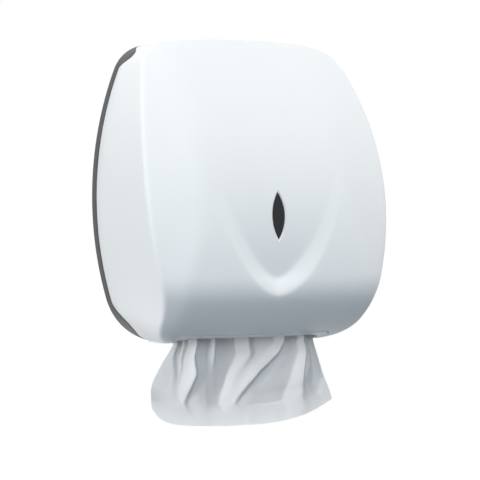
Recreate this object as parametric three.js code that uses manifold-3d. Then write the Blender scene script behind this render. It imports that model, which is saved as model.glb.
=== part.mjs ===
// Wall-mounted dispenser for interfolded paper hand towels: a grey back plate screwed to the wall, a white
// barrel-shaped drop-down cover with a scooped front and a sight window, and the paper held between them.
// Millimetres, +Z up. The wall is the plane Y = 0 and the object stands out from it towards -Y; below,
// "depth" is the distance from the wall, so y = -depth. The origin is the middle of the wall face.
import * as THREE from 'three';
import { mergeVertices } from 'three/addons/utils/BufferGeometryUtils.js';
import Module from 'manifold-3d';

const wasm = await Module();
wasm.setup();

// Driving dimensions

const clearance = 0.4; // between pieces that seat on one another
const runningGap = 0.3; // round a pin or a turning barrel
const overrun = 5; // how far a cutting tool passes the face that it leaves by

const housing = {
  height: 310,
  sideRoom: 30, // beside the tray, at the wall on the widest level
  widestShare: 0.4806, // of the height, up from the foot
  sideFall: 13.313, // how far the sides fall in between there and the paper tray
  topBowRadius: 660,
  topCornerRadius: 40,
  wallBottomCornerRadius: 64, // the lower corners are wide at the wall
  frontBottomCornerRadius: 30, // and tighten towards the front
  draft: 13, // how much each side leans in between the wall and loftDepth
  loftDepth: 119,
  wall: 3,
};

const front = {
  bowDepth: 118.8, // depth of the front edge of the sides, at the apex of its bow
  apexShare: 0.2903, // of the housing's height, as the two below
  topEdgeDepth: 22.76, // where the bow ends, at the housing's top
  lowerTurnDepth: 88, // quarter ellipse that turns the front under
  lowerTurnHeight: 70,
  topRoundDepth: 8,
  topRoundHeight: 10,
  crownRise: 18.7, // the middle stands out from the side edges by this
  crownRadius: 1000,
  waistHalfWidth: 80, // half the flat middle between the two wing facets
  hipHalfWidth: 97,
  waistShare: 0.4355,
  hipShare: 0.1935,
};

const scoop = {
  levelShare: 0.6935, // of the housing's height, where the hollow starts to sink
  deepest: 13.7,
  rimHalfWidth: 80,
  rimDropShare: 0.5258, // of the housing's height, as are the rises and drops below
  rimRiseShare: 0.2,
  rimPower: 1.8,
  floorHalfWidth: 73,
  floorDropShare: 0.4729,
  floorRiseShare: 0.1484,
  floorPower: 1.5,
  fadePower: 2,
};

const rim = {
  side: 10, // depth of the joint between the back plate and the cover
  ear: 25, // and where it swells into the four corner ears
  top: 4.2,
  heel: 9, // cover only, along the floor, where it swings back a little as it opens
  plateHeel: 3.8, // back plate only, along the floor
};

const plate = {
  thickness: 3,
  flange: 2.5,
  bevel: 2, // inside the flange's edge, where the opening cover passes
  ribHeight: 2.4,
  ribWidth: 2,
  ribSpread: 93.5, // of the outer two ribs, either side of the middle
  ribTopShare: 0.8226, // of the housing's height, up from the foot
  ribFootShare: 0.2161,
};

const sight = {
  levelShare: 0.4203, // of the housing's height, up from the foot
  halfLength: 23.5,
  halfWidth: 6.9,
  margin: 6, // of the flange behind the front, round the opening
  lens: 1.8,
  ear: 9, // width of the lug at each end
  postRadius: 1.5,
  arcSteps: 8,
};

const hinge = {
  depth: 60,
  height: 16, // of the axis above the housing's foot
  pinRadius: 2.5,
  eyeRadius: 6,
  innerCheek: 3.5,
  eyeWidth: 4.5,
  outerCheek: 3,
  headRadius: 3.8,
  headLength: 1.4,
  start: 86.6, // half the distance between the two inner cheeks
  lugHalfFoot: 9,
  soleHeight: 7, // of the lug's foot above the housing's foot, inside the cover's wall
};

const lock = {
  depth: 21,
  barrelRadius: 4.5,
  sleeveRadius: 6.5,
  flangeRadius: 8.6,
  flange: 1.6,
  bossRadius: 11,
  bossHeight: 6,
  sleeveLength: 15,
  nutRadius: 9.5,
  nutHeight: 3.4,
  camThickness: 3,
  camReach: 13,
  camHalfWidth: 3,
  toothDepth: 3.5,
  toothHeight: 4.1,
  slotLength: 6,
  slotWidth: 1.6,
  slotDepth: 3,
  screwRadius: 1.5,
  screwHeadRadius: 3,
  screwHead: 1.8,
  screwLength: 9,
};

const strike = { halfWidth: 9, thickness: 3, lipHalfWidth: 4, lip: 3, lipGap: 0.4 };

const pack = { width: 225, depth: 100, heightShare: 0.1226, back: 6, fold: 5 }; // a share of the housing's

const tray = {
  height: 52, // of the floor's underside above the housing's foot
  floor: 2.5,
  sideSlack: 1, // beside the packs
  frontSlack: 2, // in front of them
  wall: 2,
  sideHeight: 26,
  frontHeight: 15,
  openingHalfWidth: 86,
  openingDepth: 70,
  openingRadius: 14,
  apronDrop: 24,
  apronHalfWidth: 80,
};

const outlet = {
  flange: 2,
  flangeMargin: 7,
  wall: 2,
  throatHalfWidth: 82,
  throatHalfDepth: 19,
  throatHeight: 17, // where the throat starts, above the housing's foot
  skin: 2.2,
  backDepth: 5,
  steps: 40,
  skinSteps: 8,
};

const mouth = { halfWidth: 86, lipDepth: 85.5, cornerRadius: 12, height: 27, seam: 0.5, lipSeam: 1.4 };

const screw = {
  radius: 1.6,
  headRadius: 3.6,
  head: 2.2,
  length: 8.4,
  bossRadius: 4.5,
  bossDepth: 8,
  inner: 26, // half the distance between the inner two
  outer: 68,
};

const keyhole = { spread: 75, headRadius: 4.8, slotRadius: 2.4, slot: 10 };
const keyholeShares = { upper: 0.8419, lower: 0.3 }; // of the housing's height, up from the foot

const sheet = {
  exitWidth: 159,
  lowerWidth: 211,
  thickness: 1.2,
  drop: 81.5, // of its lower edge below the housing's foot
  exitDepth: 49.5,
  foldDepth: 8,
  kickBack: 6, // how far the lower edge hangs back towards the wall
  cornerRise: 24, // the lower corners curl up by this
  hemHeight: 22, // the strip below the last crease
  hemLean: 3, // and how far it turns forward again
};

// The sheet's folds, left to right, in shares of its half width: where each ridge runs at the throat and
// at the foot and how wide it is there; then its share of foldDepth, and where on the way down it ends.
const foldShares = [
  { throat: -0.76, foot: -0.69, throatWidth: 0.07, footWidth: 0.115, height: 0.95, fade: 1 },
  { throat: -0.39, foot: -0.3, throatWidth: 0.055, footWidth: 0.08, height: 0.5, fade: 0.45 },
  { throat: 0.04, foot: -0.14, throatWidth: 0.09, footWidth: 0.08, height: 0.7, fade: 0.6 },
  { throat: 0.53, foot: -0.23, throatWidth: 0.09, footWidth: 0.16, height: 1, fade: 1 },
  { throat: 0.83, foot: 0.7, throatWidth: 0.065, footWidth: 0.16, height: 1, fade: 1 },
];

// Materials

const paint = (colour, roughness, metalness = 0) =>
  new THREE.MeshStandardMaterial({ color: colour, roughness, metalness });
const whitePlastic = paint(0xeef1f4, 0.35);
const greyPlastic = paint(0x6f6f70, 0.5);
const trayPlastic = paint(0xd9dcdf, 0.5);
const lensPlastic = paint(0x31353a, 0.1);
const steel = paint(0xb6b9bc, 0.3, 1);
const zinc = paint(0x9a9ea3, 0.4, 1);
const paper = paint(0xf1f2f3, 0.95);

// Solids

const at = (x, depth, z) => new THREE.Vector3(x, -depth, z);
const lerp = (a, b, share) => a + (b - a) * share;
const clamp = (value) => Math.min(1, Math.max(0, value));
const smooth = (value) => clamp(value) ** 2 * (3 - 2 * clamp(value));
const upTo = (count) => [...Array(count).keys()];
const facets = { round: 24, head: 16, bore: 12, nut: 6, corner: 6, fold: 4 };

function signedVolume(positions, triangles) {
  const [a, b, c] = [new THREE.Vector3(), new THREE.Vector3(), new THREE.Vector3()];
  let volume = 0;
  for (let i = 0; i < triangles.length; i += 3) {
    a.fromArray(positions, 3 * triangles[i]);
    b.fromArray(positions, 3 * triangles[i + 1]);
    c.fromArray(positions, 3 * triangles[i + 2]);
    volume += a.dot(b.cross(c));
  }
  return volume;
}

function toSolid(geometry) {
  const bare = geometry.clone();
  for (const attribute of ['normal', 'uv']) bare.deleteAttribute(attribute);
  const merged = mergeVertices(bare);
  const vertProperties = Float32Array.from(merged.getAttribute('position').array);
  const triVerts = Uint32Array.from(merged.getIndex().array);
  if (signedVolume(vertProperties, triVerts) < 0) {
    for (let i = 0; i < triVerts.length; i += 3) {
      [triVerts[i + 1], triVerts[i + 2]] = [triVerts[i + 2], triVerts[i + 1]];
    }
  }
  return new wasm.Manifold(new wasm.Mesh({ numProp: 3, vertProperties, triVerts }));
}

function toGeometry(solid) {
  const { vertProperties, triVerts, numProp } = solid.getMesh();
  const geometry = new THREE.BufferGeometry();
  const positions = new Float32Array((vertProperties.length / numProp) * 3);
  for (let i = 0; i < positions.length / 3; i += 1) {
    for (let axis = 0; axis < 3; axis += 1) positions[3 * i + axis] = vertProperties[numProp * i + axis];
  }
  geometry.setAttribute('position', new THREE.BufferAttribute(positions, 3));
  geometry.setIndex([...triVerts]);
  const faceted = geometry.toNonIndexed();
  faceted.computeVertexNormals();
  return faceted;
}

const join = (...solids) => solids.reduce((whole, next) => whole.add(next));
const cut = (solid, ...tools) => tools.reduce((whole, tool) => whole.subtract(tool), solid);

// Triangles that close a ring of points as a fan round its middle, which is added to the positions.
function fanCap(ring, start, positions) {
  const centre = positions.length / 3;
  const middle = new THREE.Vector3();
  for (const point of ring) middle.addScaledVector(point, 1 / ring.length);
  positions.push(...middle.toArray());
  return ring.map((_, k) => [centre, start + k, start + ((k + 1) % ring.length)]);
}

// Triangles that close a ring which runs out along one face of a sheet and back along the other.
function stripCap(ring, start) {
  const last = start + ring.length - 1;
  return upTo(ring.length / 2 - 1).flatMap((k) => [
    [start + k, start + k + 1, last - k],
    [start + k + 1, last - k - 1, last - k],
  ]);
}

// A closed surface from rings of points: each ring joins the next, and either the last ring joins the
// first or both of these are capped.
function skin(rings, cap) {
  const count = rings[0].length;
  const positions = rings.flat().flatMap((point) => point.toArray());
  const index = [];
  const last = cap ? rings.length - 1 : rings.length;
  for (let r = 0; r < last; r += 1) {
    const near = r * count;
    const far = ((r + 1) % rings.length) * count;
    for (let k = 0; k < count; k += 1) {
      const next = (k + 1) % count;
      index.push(near + k, far + k, far + next, near + k, far + next, near + next);
    }
  }
  if (cap) {
    index.push(...cap(rings[0], 0, positions).flat());
    index.push(...cap(rings[last], last * count, positions).flat().reverse());
  }
  const geometry = new THREE.BufferGeometry();
  geometry.setAttribute('position', new THREE.BufferAttribute(new Float32Array(positions), 3));
  geometry.setIndex(index);
  return toSolid(geometry);
}

function block([x0, x1], [depth0, depth1], [z0, z1]) {
  const box = new THREE.BoxGeometry(x1 - x0, depth1 - depth0, z1 - z0);
  return toSolid(box.translate((x0 + x1) / 2, -(depth0 + depth1) / 2, (z0 + z1) / 2));
}

const turns = { X: (g) => g.rotateZ(Math.PI / 2), Y: (g) => g, Z: (g) => g.rotateX(Math.PI / 2) };

function rod(axis, radius, length, centre, sides = facets.round) {
  const cylinder = new THREE.CylinderGeometry(radius, radius, length, sides);
  return toSolid(turns[axis](cylinder).translate(centre.x, centre.y, centre.z));
}

// A rod square to the wall, between two depths.
function across(radius, [depth0, depth1], x, z, sides) {
  return rod('Y', radius, depth1 - depth0, at(x, (depth0 + depth1) / 2, z), sides);
}

// A slab whose outline lies in X and depth, standing between two levels.
function slab(outline, [z0, z1]) {
  const settings = { depth: z1 - z0, bevelEnabled: false, curveSegments: facets.corner };
  return toSolid(new THREE.ExtrudeGeometry(outline, settings).translate(0, 0, z0));
}

function roundedRectangle([x0, x1], [depth0, depth1], radius) {
  const [y0, y1] = [-depth1, -depth0];
  const shape = new THREE.Shape();
  shape.absarc(x1 - radius, y0 + radius, radius, -Math.PI / 2, 0);
  shape.absarc(x1 - radius, y1 - radius, radius, 0, Math.PI / 2);
  shape.absarc(x0 + radius, y1 - radius, radius, Math.PI / 2, Math.PI);
  shape.absarc(x0 + radius, y0 + radius, radius, Math.PI, 1.5 * Math.PI);
  shape.closePath();
  return shape;
}

// The barrel outline, seen from the front: arcs that meet tangentially

const top = housing.height / 2;
const bottom = -housing.height / 2;
const levelAt = (share) => bottom + share * housing.height;
const hingeLevel = bottom + hinge.height;
const trayLevel = bottom + tray.height;
const sightLevel = levelAt(sight.levelShare);
const scoopLevel = levelAt(scoop.levelShare);
const apexLevel = levelAt(front.apexShare);
const widestLevel = levelAt(housing.widestShare);
const packHeight = pack.heightShare * housing.height;
const trayHalfWidth = pack.width / 2 + tray.sideSlack + tray.wall;
const trayFront = pack.back + pack.depth + tray.frontSlack + tray.wall;
const housingHalfWidth = trayHalfWidth + housing.sideRoom;
const bowRadius = throughEdge(top - apexLevel, front.bowDepth - front.topEdgeDepth);
const sideBowRadius = throughEdge(widestLevel - trayLevel, housing.sideFall);
const steps = { crown: 5, corner: 8, side: 12, lowerCorner: 9, floor: 4 };

// Radius of the arc that falls away from its apex by a drop over a run.
function throughEdge(run, drop) {
  return (run ** 2 + drop ** 2) / (2 * drop);
}

// Centre of a fillet inside two circles, on the side of greater x.
function filletCentre(c1, r1, c2, r2) {
  const apart = c2.clone().sub(c1);
  const distance = apart.length();
  const along = (r1 ** 2 - r2 ** 2 + distance ** 2) / (2 * distance);
  const across = Math.sqrt(r1 ** 2 - along ** 2);
  const unit = apart.divideScalar(distance);
  const foot = c1.clone().addScaledVector(unit, along);
  const normal = new THREE.Vector2(-unit.y, unit.x).multiplyScalar(Math.sign(-unit.y) || 1);
  return foot.addScaledVector(normal, across);
}

// Points of the outline, clockwise from the top middle, each with the zone of the edge that it lies in.
function outline(halfWidth, bottomCornerRadius, inset) {
  const { topBowRadius, topCornerRadius } = housing;
  const side = new THREE.Vector2(halfWidth - sideBowRadius, widestLevel);
  const crown = new THREE.Vector2(0, top - topBowRadius);
  const corner = filletCentre(side, sideBowRadius - topCornerRadius, crown, topBowRadius - topCornerRadius);
  const lowLevel = bottom + bottomCornerRadius;
  const reach = Math.sqrt((sideBowRadius - bottomCornerRadius) ** 2 - (lowLevel - widestLevel) ** 2);
  const low = new THREE.Vector2(side.x + reach, lowLevel);
  const cornerTop = corner.clone().sub(crown).angle();
  const cornerSide = corner.clone().sub(side).angle();
  const lowSide = low.clone().sub(side).angle() - 2 * Math.PI;
  const half = [];
  const arc = (centre, radius, from, to, count, zone) => {
    for (let i = 0; i < count; i += 1) {
      const angle = lerp(from, to, i / count);
      half.push({
        x: centre.x + (radius - inset) * Math.cos(angle),
        z: centre.y + (radius - inset) * Math.sin(angle),
        zone,
        share: i / count,
      });
    }
  };
  arc(crown, topBowRadius, Math.PI / 2, cornerTop, steps.crown, 'crown');
  arc(corner, topCornerRadius, cornerTop, cornerSide, steps.corner, 'corner');
  arc(side, sideBowRadius, cornerSide, lowSide, steps.side, 'side');
  arc(low, bottomCornerRadius, lowSide, -Math.PI / 2, steps.lowerCorner, 'lowerCorner');
  for (let i = 0; i <= steps.floor; i += 1) {
    half.push({ x: low.x * (1 - i / steps.floor), z: bottom + inset, zone: 'floor', share: i / steps.floor });
  }
  const mirrored = half.slice(1, -1).reverse().map((point) => ({ ...point, x: -point.x }));
  return [...half, ...mirrored];
}

function outlines(inset) {
  return {
    wall: outline(housingHalfWidth, housing.wallBottomCornerRadius, inset),
    front: outline(housingHalfWidth - housing.draft, housing.frontBottomCornerRadius, inset),
  };
}

// A point of the drafted side wall, k steps round, at a depth.
function onSide({ wall, front: far }, k, depth) {
  const share = depth / housing.loftDepth;
  return { x: lerp(wall[k].x, far[k].x, share), z: lerp(wall[k].z, far[k].z, share) };
}

const outer = outlines(0);
const inner = outlines(housing.wall);
const around = outer.wall.length;
const everyStep = upTo(around);

// The joint between the back plate and the cover: it swells at each corner into an ear.
const earShares = { risen: 0.32, held: 0.38, fallen: 0.74, fallenTop: 0.86 };

function rimDepth({ zone, share }, heel) {
  if (zone === 'side') return rim.side;
  if (zone === 'crown') return rim.top;
  if (zone === 'floor') return heel;
  const up = zone === 'corner' ? 1 - share : share;
  const [end, fallen] = zone === 'corner' ? [rim.top, earShares.fallenTop] : [heel, earShares.fallen];
  const rise = lerp(rim.side, rim.ear, smooth(up / earShares.risen));
  const fall = lerp(end, rim.ear, smooth((fallen - up) / (fallen - earShares.held)));
  return Math.min(rise, fall);
}

// The front: a bowed sheet, crowned across, turned under at the foot, with wing facets and a scooped middle

// One at the edge of a hollow whose reach below and above the scoop's level are shares of the height.
function superellipse(x, z, halfWidth, dropShare, riseShare, power) {
  const reach = housing.height * (z < scoopLevel ? dropShare : riseShare);
  return Math.abs(x / halfWidth) ** power + Math.abs((z - scoopLevel) / reach) ** power;
}

const scoopRim = (x, z) =>
  superellipse(x, z, scoop.rimHalfWidth, scoop.rimDropShare, scoop.rimRiseShare, scoop.rimPower);
const scoopFloor = (x, z) =>
  superellipse(x, z, scoop.floorHalfWidth, scoop.floorDropShare, scoop.floorRiseShare, scoop.floorPower);

function scoopDepth(x, z) {
  const [insideRim, outsideFloor] = [1 - scoopRim(x, z), scoopFloor(x, z) - 1];
  if (insideRim <= 0) return 0;
  const ramp = outsideFloor <= 0 ? 1 : insideRim / (insideRim + outsideFloor);
  const sunk = clamp((scoopLevel - z) / (scoop.floorDropShare * housing.height));
  return scoop.deepest * ramp * sunk ** scoop.fadePower;
}

function crown(x, z) {
  const { crownRise, crownRadius, waistHalfWidth, hipHalfWidth, waistShare, hipShare } = front;
  const [waistLevel, hipLevel] = [levelAt(waistShare), levelAt(hipShare)];
  const facet = lerp(waistHalfWidth, hipHalfWidth, smooth((waistLevel - z) / (waistLevel - hipLevel)));
  if (Math.abs(x) < facet) return crownRise - x ** 2 / (2 * crownRadius);
  const edge = housingHalfWidth - housing.draft;
  return ((crownRise - facet ** 2 / (2 * crownRadius)) * (edge - Math.abs(x))) / (edge - facet);
}

const quarter = (share) => 1 - Math.sqrt(1 - clamp(share) ** 2);

function frontDepth(x, z) {
  const bow = bowRadius - Math.sqrt(bowRadius ** 2 - (z - apexLevel) ** 2);
  const lower = front.lowerTurnDepth * quarter((bottom + front.lowerTurnHeight - z) / front.lowerTurnHeight);
  const upper = front.topRoundDepth * quarter((z - top + front.topRoundHeight) / front.topRoundHeight);
  return front.bowDepth - bow - lower - upper + crown(x, z) - scoopDepth(x, z);
}

const probeShare = 0.1; // of the wall, for taking slopes

// The same sheet seen from inside, a wall's thickness behind.
function innerDepth(x, z) {
  const { wall } = housing;
  const probe = wall * probeShare;
  const acrossSlope = (frontDepth(x + probe, z) - frontDepth(x - probe, z)) / (2 * probe);
  const upSlope = (frontDepth(x, z + probe) - frontDepth(x, z - probe)) / (2 * probe);
  return frontDepth(x, z) - wall * Math.sqrt(1 + acrossSlope ** 2 + upSlope ** 2);
}

const passes = { settling: 60, halving: 40 };

// Where the front meets the side, k steps round.
function edgePoint(sides, k, depthOf) {
  let depth = 0;
  for (let pass = 0; pass < passes.settling; pass += 1) {
    const { x, z } = onSide(sides, k, depth);
    depth = (depth + depthOf(x, z)) / 2;
  }
  return { ...onSide(sides, k, depth), depth };
}

// Front cover

const middle = { x: 0, z: sightLevel };
const spindleRadius = (sight.halfLength ** 2 + sight.halfWidth ** 2) / (2 * sight.halfWidth);

function inSpindle(x, z) {
  const up = z - sightLevel;
  const inside = Math.abs(x) + spindleRadius - sight.halfWidth;
  return inside ** 2 + up ** 2 <= spindleRadius ** 2;
}

// The farthest point from the middle, towards a target, that a test still accepts.
function rayPoint(target, accepts) {
  let [near, far] = [0, 1];
  for (let pass = 0; pass < passes.halving; pass += 1) {
    const share = (near + far) / 2;
    if (accepts(lerp(middle.x, target.x, share), lerp(middle.z, target.z, share))) near = share;
    else far = share;
  }
  return { x: lerp(middle.x, target.x, near), z: lerp(middle.z, target.z, near) };
}

const floorShares = [0.1, 0.25, 0.55];
const rampShares = [0.5];
const apronShares = [0.28, 0.52, 0.74, 0.89, 0.97];

function coverRings(sides, depthOf) {
  const edges = everyStep.map((k) => edgePoint(sides, k, depthOf));
  const window = edges.map((edge) => rayPoint(edge, inSpindle));
  const floor = edges.map((edge) => rayPoint(edge, (x, z) => scoopFloor(x, z) <= 1));
  const lip = edges.map((edge) => rayPoint(edge, (x, z) => scoopRim(x, z) <= 1));
  const between = (from, to, share) =>
    everyStep.map((k) => ({ x: lerp(from[k].x, to[k].x, share), z: lerp(from[k].z, to[k].z, share) }));
  const onFront = [
    window,
    ...floorShares.map((share) => between(window, floor, share)),
    floor,
    ...rampShares.map((share) => between(floor, lip, share)),
    lip,
    ...apronShares.map((share) => between(lip, edges, share)),
  ].map((ring) => ring.map(({ x, z }) => at(x, depthOf(x, z), z)));
  const sideRings = [0, 0.5, 1].map((share) =>
    everyStep.map((k) => {
      const depth = lerp(edges[k].depth, rimDepth(outer.wall[k], rim.heel), share);
      const { x, z } = onSide(sides, k, depth);
      return at(x, depth, z);
    }),
  );
  return [...onFront, ...sideRings];
}

function levelsOfLock() {
  const underBoss = top - housing.wall / 2 - lock.bossHeight;
  const nutTop = underBoss - runningGap;
  const sleeveFoot = top - lock.sleeveLength;
  const camTop = sleeveFoot - runningGap;
  const nut = [nutTop - lock.nutHeight, nutTop];
  const cam = [camTop - lock.camThickness, camTop];
  return { underBoss, nut, sleeveFoot, cam };
}

const lockLevels = levelsOfLock();

// A rod on the lock's axis, between two levels.
function upAxis(radius, [z0, z1], sides) {
  return rod('Z', radius, z1 - z0, at(0, lock.depth, (z0 + z1) / 2), sides);
}

const mirrorX = (solid) => solid.mirror([1, 0, 0]);
const bothSides = (solid) => join(solid, mirrorX(solid));

function hingeSpans() {
  const innerStart = hinge.start;
  const eyeStart = innerStart + hinge.innerCheek + runningGap;
  const outerStart = eyeStart + hinge.eyeWidth + runningGap;
  return {
    inner: [innerStart, innerStart + hinge.innerCheek],
    eye: [eyeStart, eyeStart + hinge.eyeWidth],
    outer: [outerStart, outerStart + hinge.outerCheek],
  };
}

const spans = hingeSpans();

function hingeRod(radius, [a, b], sides) {
  return rod('X', radius, b - a, at((a + b) / 2, hinge.depth, hingeLevel), sides);
}

// The cover's hinge lug: an eye on the pin, standing on the floor wall beside the mouth.
function hingeLug() {
  const { depth, eyeRadius, lugHalfFoot, soleHeight, eyeWidth } = hinge;
  const sole = bottom + soleHeight;
  const shape = new THREE.Shape();
  shape.moveTo(-depth - eyeRadius, hingeLevel);
  shape.lineTo(-depth + eyeRadius, hingeLevel);
  shape.lineTo(-depth + lugHalfFoot, sole);
  shape.lineTo(-depth - lugHalfFoot, sole);
  shape.closePath();
  const web = new THREE.ExtrudeGeometry(shape, { depth: eyeWidth, bevelEnabled: false });
  // the outline is drawn in depth and level, and stood up across X
  web.applyMatrix4(new THREE.Matrix4().makeBasis(at(0, -1, 0), at(0, 0, 1), at(1, 0, 0)));
  const eye = hingeRod(eyeRadius, spans.eye);
  const bore = hingeRod(hinge.pinRadius + runningGap, [spans.eye[0] - overrun, spans.eye[1] + overrun]);
  return cut(join(toSolid(web.translate(spans.eye[0], 0, 0)), eye), bore);
}

function mouthOutline(seam, lipSeam) {
  const depths = [-overrun, mouth.lipDepth - lipSeam];
  return roundedRectangle([-mouth.halfWidth + seam, mouth.halfWidth - seam], depths, mouth.cornerRadius);
}

const postReach = sight.halfLength + sight.margin + sight.ear / 3;
const postLevels = [sightLevel - postReach, sightLevel + postReach];
const lugFace = (level) =>
  Math.min(...[-1, 1].map((way) => innerDepth(0, level + (way * sight.ear) / 2))) - clearance;

// A post moulded behind the front, melted over the lens's lug.
function windowPost(level) {
  const back = lugFace(level) - sight.lens - sight.postRadius;
  return across(sight.postRadius, [back, frontDepth(0, level) - housing.wall / 2], 0, level, facets.bore);
}

function frontCover() {
  const rings = coverRings(outer, frontDepth);
  const liner = coverRings(inner, innerDepth).reverse();
  const shell = skin([...rings, ...liner]);
  const opening = slab(mouthOutline(0, 0), [bottom - overrun, bottom + mouth.height]);
  const lockBoss = upAxis(lock.bossRadius, [lockLevels.underBoss, top - housing.wall / 2]);
  const pocket = upAxis(lock.flangeRadius + runningGap, [top - lock.flange, top + overrun]);
  const bore = upAxis(lock.sleeveRadius + runningGap, [lockLevels.underBoss - overrun, top + overrun]);
  const posts = join(...postLevels.map(windowPost));
  return cut(join(cut(shell, opening), bothSides(hingeLug()), lockBoss, posts), pocket, bore);
}

// Back plate

function plateRings() {
  const recess = outlines(plate.flange);
  const place = (sides, depthOf) =>
    everyStep.map((k) => {
      const depth = depthOf(k);
      const { x, z } = onSide(sides, k, depth);
      return at(x, depth, z);
    });
  const flangeTop = (k) => rimDepth(outer.wall[k], rim.plateHeel + clearance) - clearance;
  const bevelled = (k) => Math.max(plate.thickness + clearance, flangeTop(k) - plate.bevel);
  return [
    place(outer, () => 0),
    place(outer, flangeTop),
    place(recess, bevelled),
    place(recess, () => plate.thickness),
  ];
}

function strikeHook() {
  const camLevel = lockLevels.cam[0];
  const toothTip = camLevel - lock.toothHeight;
  const armTop = toothTip - strike.lipGap;
  const lipFront = lock.depth - (lock.camReach - lock.toothDepth) + strike.lip + 3 * clearance;
  const { halfWidth, thickness, lipHalfWidth, lip } = strike;
  const lipLevels = [armTop - thickness / 2, camLevel - runningGap];
  const arm = block([-halfWidth, halfWidth], [plate.thickness / 2, lipFront], [armTop - thickness, armTop]);
  const hook = block([-lipHalfWidth, lipHalfWidth], [lipFront - lip, lipFront], lipLevels);
  const gusset = new THREE.Shape([
    new THREE.Vector2(-plate.thickness / 2, armTop - thickness / 2),
    new THREE.Vector2(-lipFront + lip, armTop - thickness / 2),
    new THREE.Vector2(-plate.thickness / 2, armTop - lipFront),
  ]);
  const web = new THREE.ExtrudeGeometry(gusset, { depth: thickness, bevelEnabled: false });
  web.applyMatrix4(new THREE.Matrix4().makeBasis(at(0, -1, 0), at(0, 0, 1), at(1, 0, 0)));
  return join(arm, hook, toSolid(web.translate(-thickness / 2, 0, 0)));
}

function keyholeCut(x, z) {
  const { headRadius, slotRadius, slot } = keyhole;
  const through = 4 * plate.thickness;
  const head = rod('Y', headRadius, through, at(x, 0, z));
  const end = rod('Y', slotRadius, through, at(x, 0, z + slot), facets.bore);
  return join(head, end, block([x - slotRadius, x + slotRadius], [-through / 2, through / 2], [z, z + slot]));
}

const screwPlaces = [-screw.outer, -screw.inner, screw.inner, screw.outer];
const apronLevel = trayLevel - tray.apronDrop / 2;
const screwSeat = screw.bossDepth + runningGap + tray.wall;
const screwHeadBack = screwSeat + runningGap;
const screwTip = screwHeadBack - screw.length;

function backPlate() {
  const pan = skin(plateRings(), fanCap);
  const ribDepths = [plate.thickness / 2, plate.thickness + plate.ribHeight];
  const ribLevels = [levelAt(plate.ribFootShare), levelAt(plate.ribTopShare)];
  const ribs = [-1, -1 / 3, 1 / 3, 1].map((share) => {
    const x = share * plate.ribSpread;
    return block([x - plate.ribWidth / 2, x + plate.ribWidth / 2], ribDepths, ribLevels);
  });
  const bosses = screwPlaces.map((x) =>
    across(screw.bossRadius, [plate.thickness / 2, screw.bossDepth], x, apronLevel),
  );
  const pilotDepths = [screwTip - clearance, screw.bossDepth + overrun];
  const pilots = screwPlaces.map((x) =>
    across(screw.radius + runningGap, pilotDepths, x, apronLevel, facets.bore),
  );
  const keyholes = [-1, 1].flatMap((way) =>
    Object.values(keyholeShares).map((share) => keyholeCut(way * keyhole.spread, levelAt(share))),
  );
  return cut(join(pan, ...ribs, ...bosses, strikeHook()), ...pilots, ...keyholes);
}

// Sight window: a smoked lens, moulded to the curve of the front, whose raised spindle fills the opening

function spindlePoints(halfLength, halfWidth) {
  const radius = (halfLength ** 2 + halfWidth ** 2) / (2 * halfWidth);
  const sweep = Math.asin(halfLength / radius);
  const points = [];
  for (const way of [1, -1]) {
    for (let i = 0; i < sight.arcSteps; i += 1) {
      const angle = lerp(-sweep, sweep, i / sight.arcSteps);
      const x = radius * Math.cos(angle) - radius + halfWidth;
      points.push({ x: way * x, z: way * radius * Math.sin(angle) });
    }
  }
  return points;
}

const ringShares = [0.1, 0.4, 0.7, 1];

// A curved plate: the outline, round its middle's level, filled between a back and a front face.
function curvedPlate(points, middleLevel, backOf, frontOf) {
  const ring = (share, depthOf) =>
    points.map(({ x, z }) => {
      const level = middleLevel + share * z;
      return at(share * x, depthOf(share * x, level), level);
    });
  const face = ringShares.map((share) => ring(share, frontOf));
  const rear = ringShares.map((share) => ring(share, backOf)).reverse();
  return skin([...face, ...rear], fanCap);
}

const lensFace = (x, z) => innerDepth(x, z) - clearance;

function sightWindow() {
  const wide = sight.halfWidth + sight.margin;
  const long = sight.halfLength + sight.margin;
  const backOf = (x, z) => lensFace(x, z) - sight.lens;
  const flange = curvedPlate(spindlePoints(long, wide), sightLevel, backOf, lensFace);
  const pane = curvedPlate(
    spindlePoints(sight.halfLength - 3 * clearance, sight.halfWidth - clearance),
    sightLevel,
    (x, z) => lensFace(x, z) - sight.lens / 2,
    (x, z) => frontDepth(x, z) - clearance,
  );
  const disc = upTo(facets.round).map((i) => {
    const angle = (2 * Math.PI * i) / facets.round;
    return { x: (sight.ear / 2) * Math.cos(angle), z: (sight.ear / 2) * Math.sin(angle) };
  });
  const lugs = postLevels.map((level) =>
    curvedPlate(disc, level, () => lugFace(level) - sight.lens, lensFace),
  );
  const holes = postLevels.map((level) => {
    const depths = [lugFace(level) - overrun, lugFace(level) + overrun];
    return across(sight.postRadius + runningGap, depths, 0, level, facets.bore);
  });
  return cut(join(flange, pane, ...lugs), ...holes);
}

// Hinge pins, lock and tray screws

function hingePin() {
  const headFace = spans.inner[0] - runningGap;
  const shank = hingeRod(hinge.pinRadius, [headFace - hinge.headLength / 2, spans.outer[1]]);
  const head = hingeRod(hinge.headRadius, [headFace - hinge.headLength, headFace]);
  return join(shank, head);
}

function lockSleeve() {
  const flange = upAxis(lock.flangeRadius, [top - lock.flange + runningGap, top]);
  const sleeve = upAxis(lock.sleeveRadius, [lockLevels.sleeveFoot, top - lock.flange / 2]);
  const bore = upAxis(lock.barrelRadius + runningGap, [lockLevels.sleeveFoot - overrun, top + overrun]);
  return cut(join(flange, sleeve), bore);
}

function lockNut() {
  const hexagon = upAxis(lock.nutRadius, lockLevels.nut, facets.nut);
  return cut(hexagon, upAxis(lock.sleeveRadius + runningGap, [lockLevels.nut[0] - overrun, top]));
}

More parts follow.
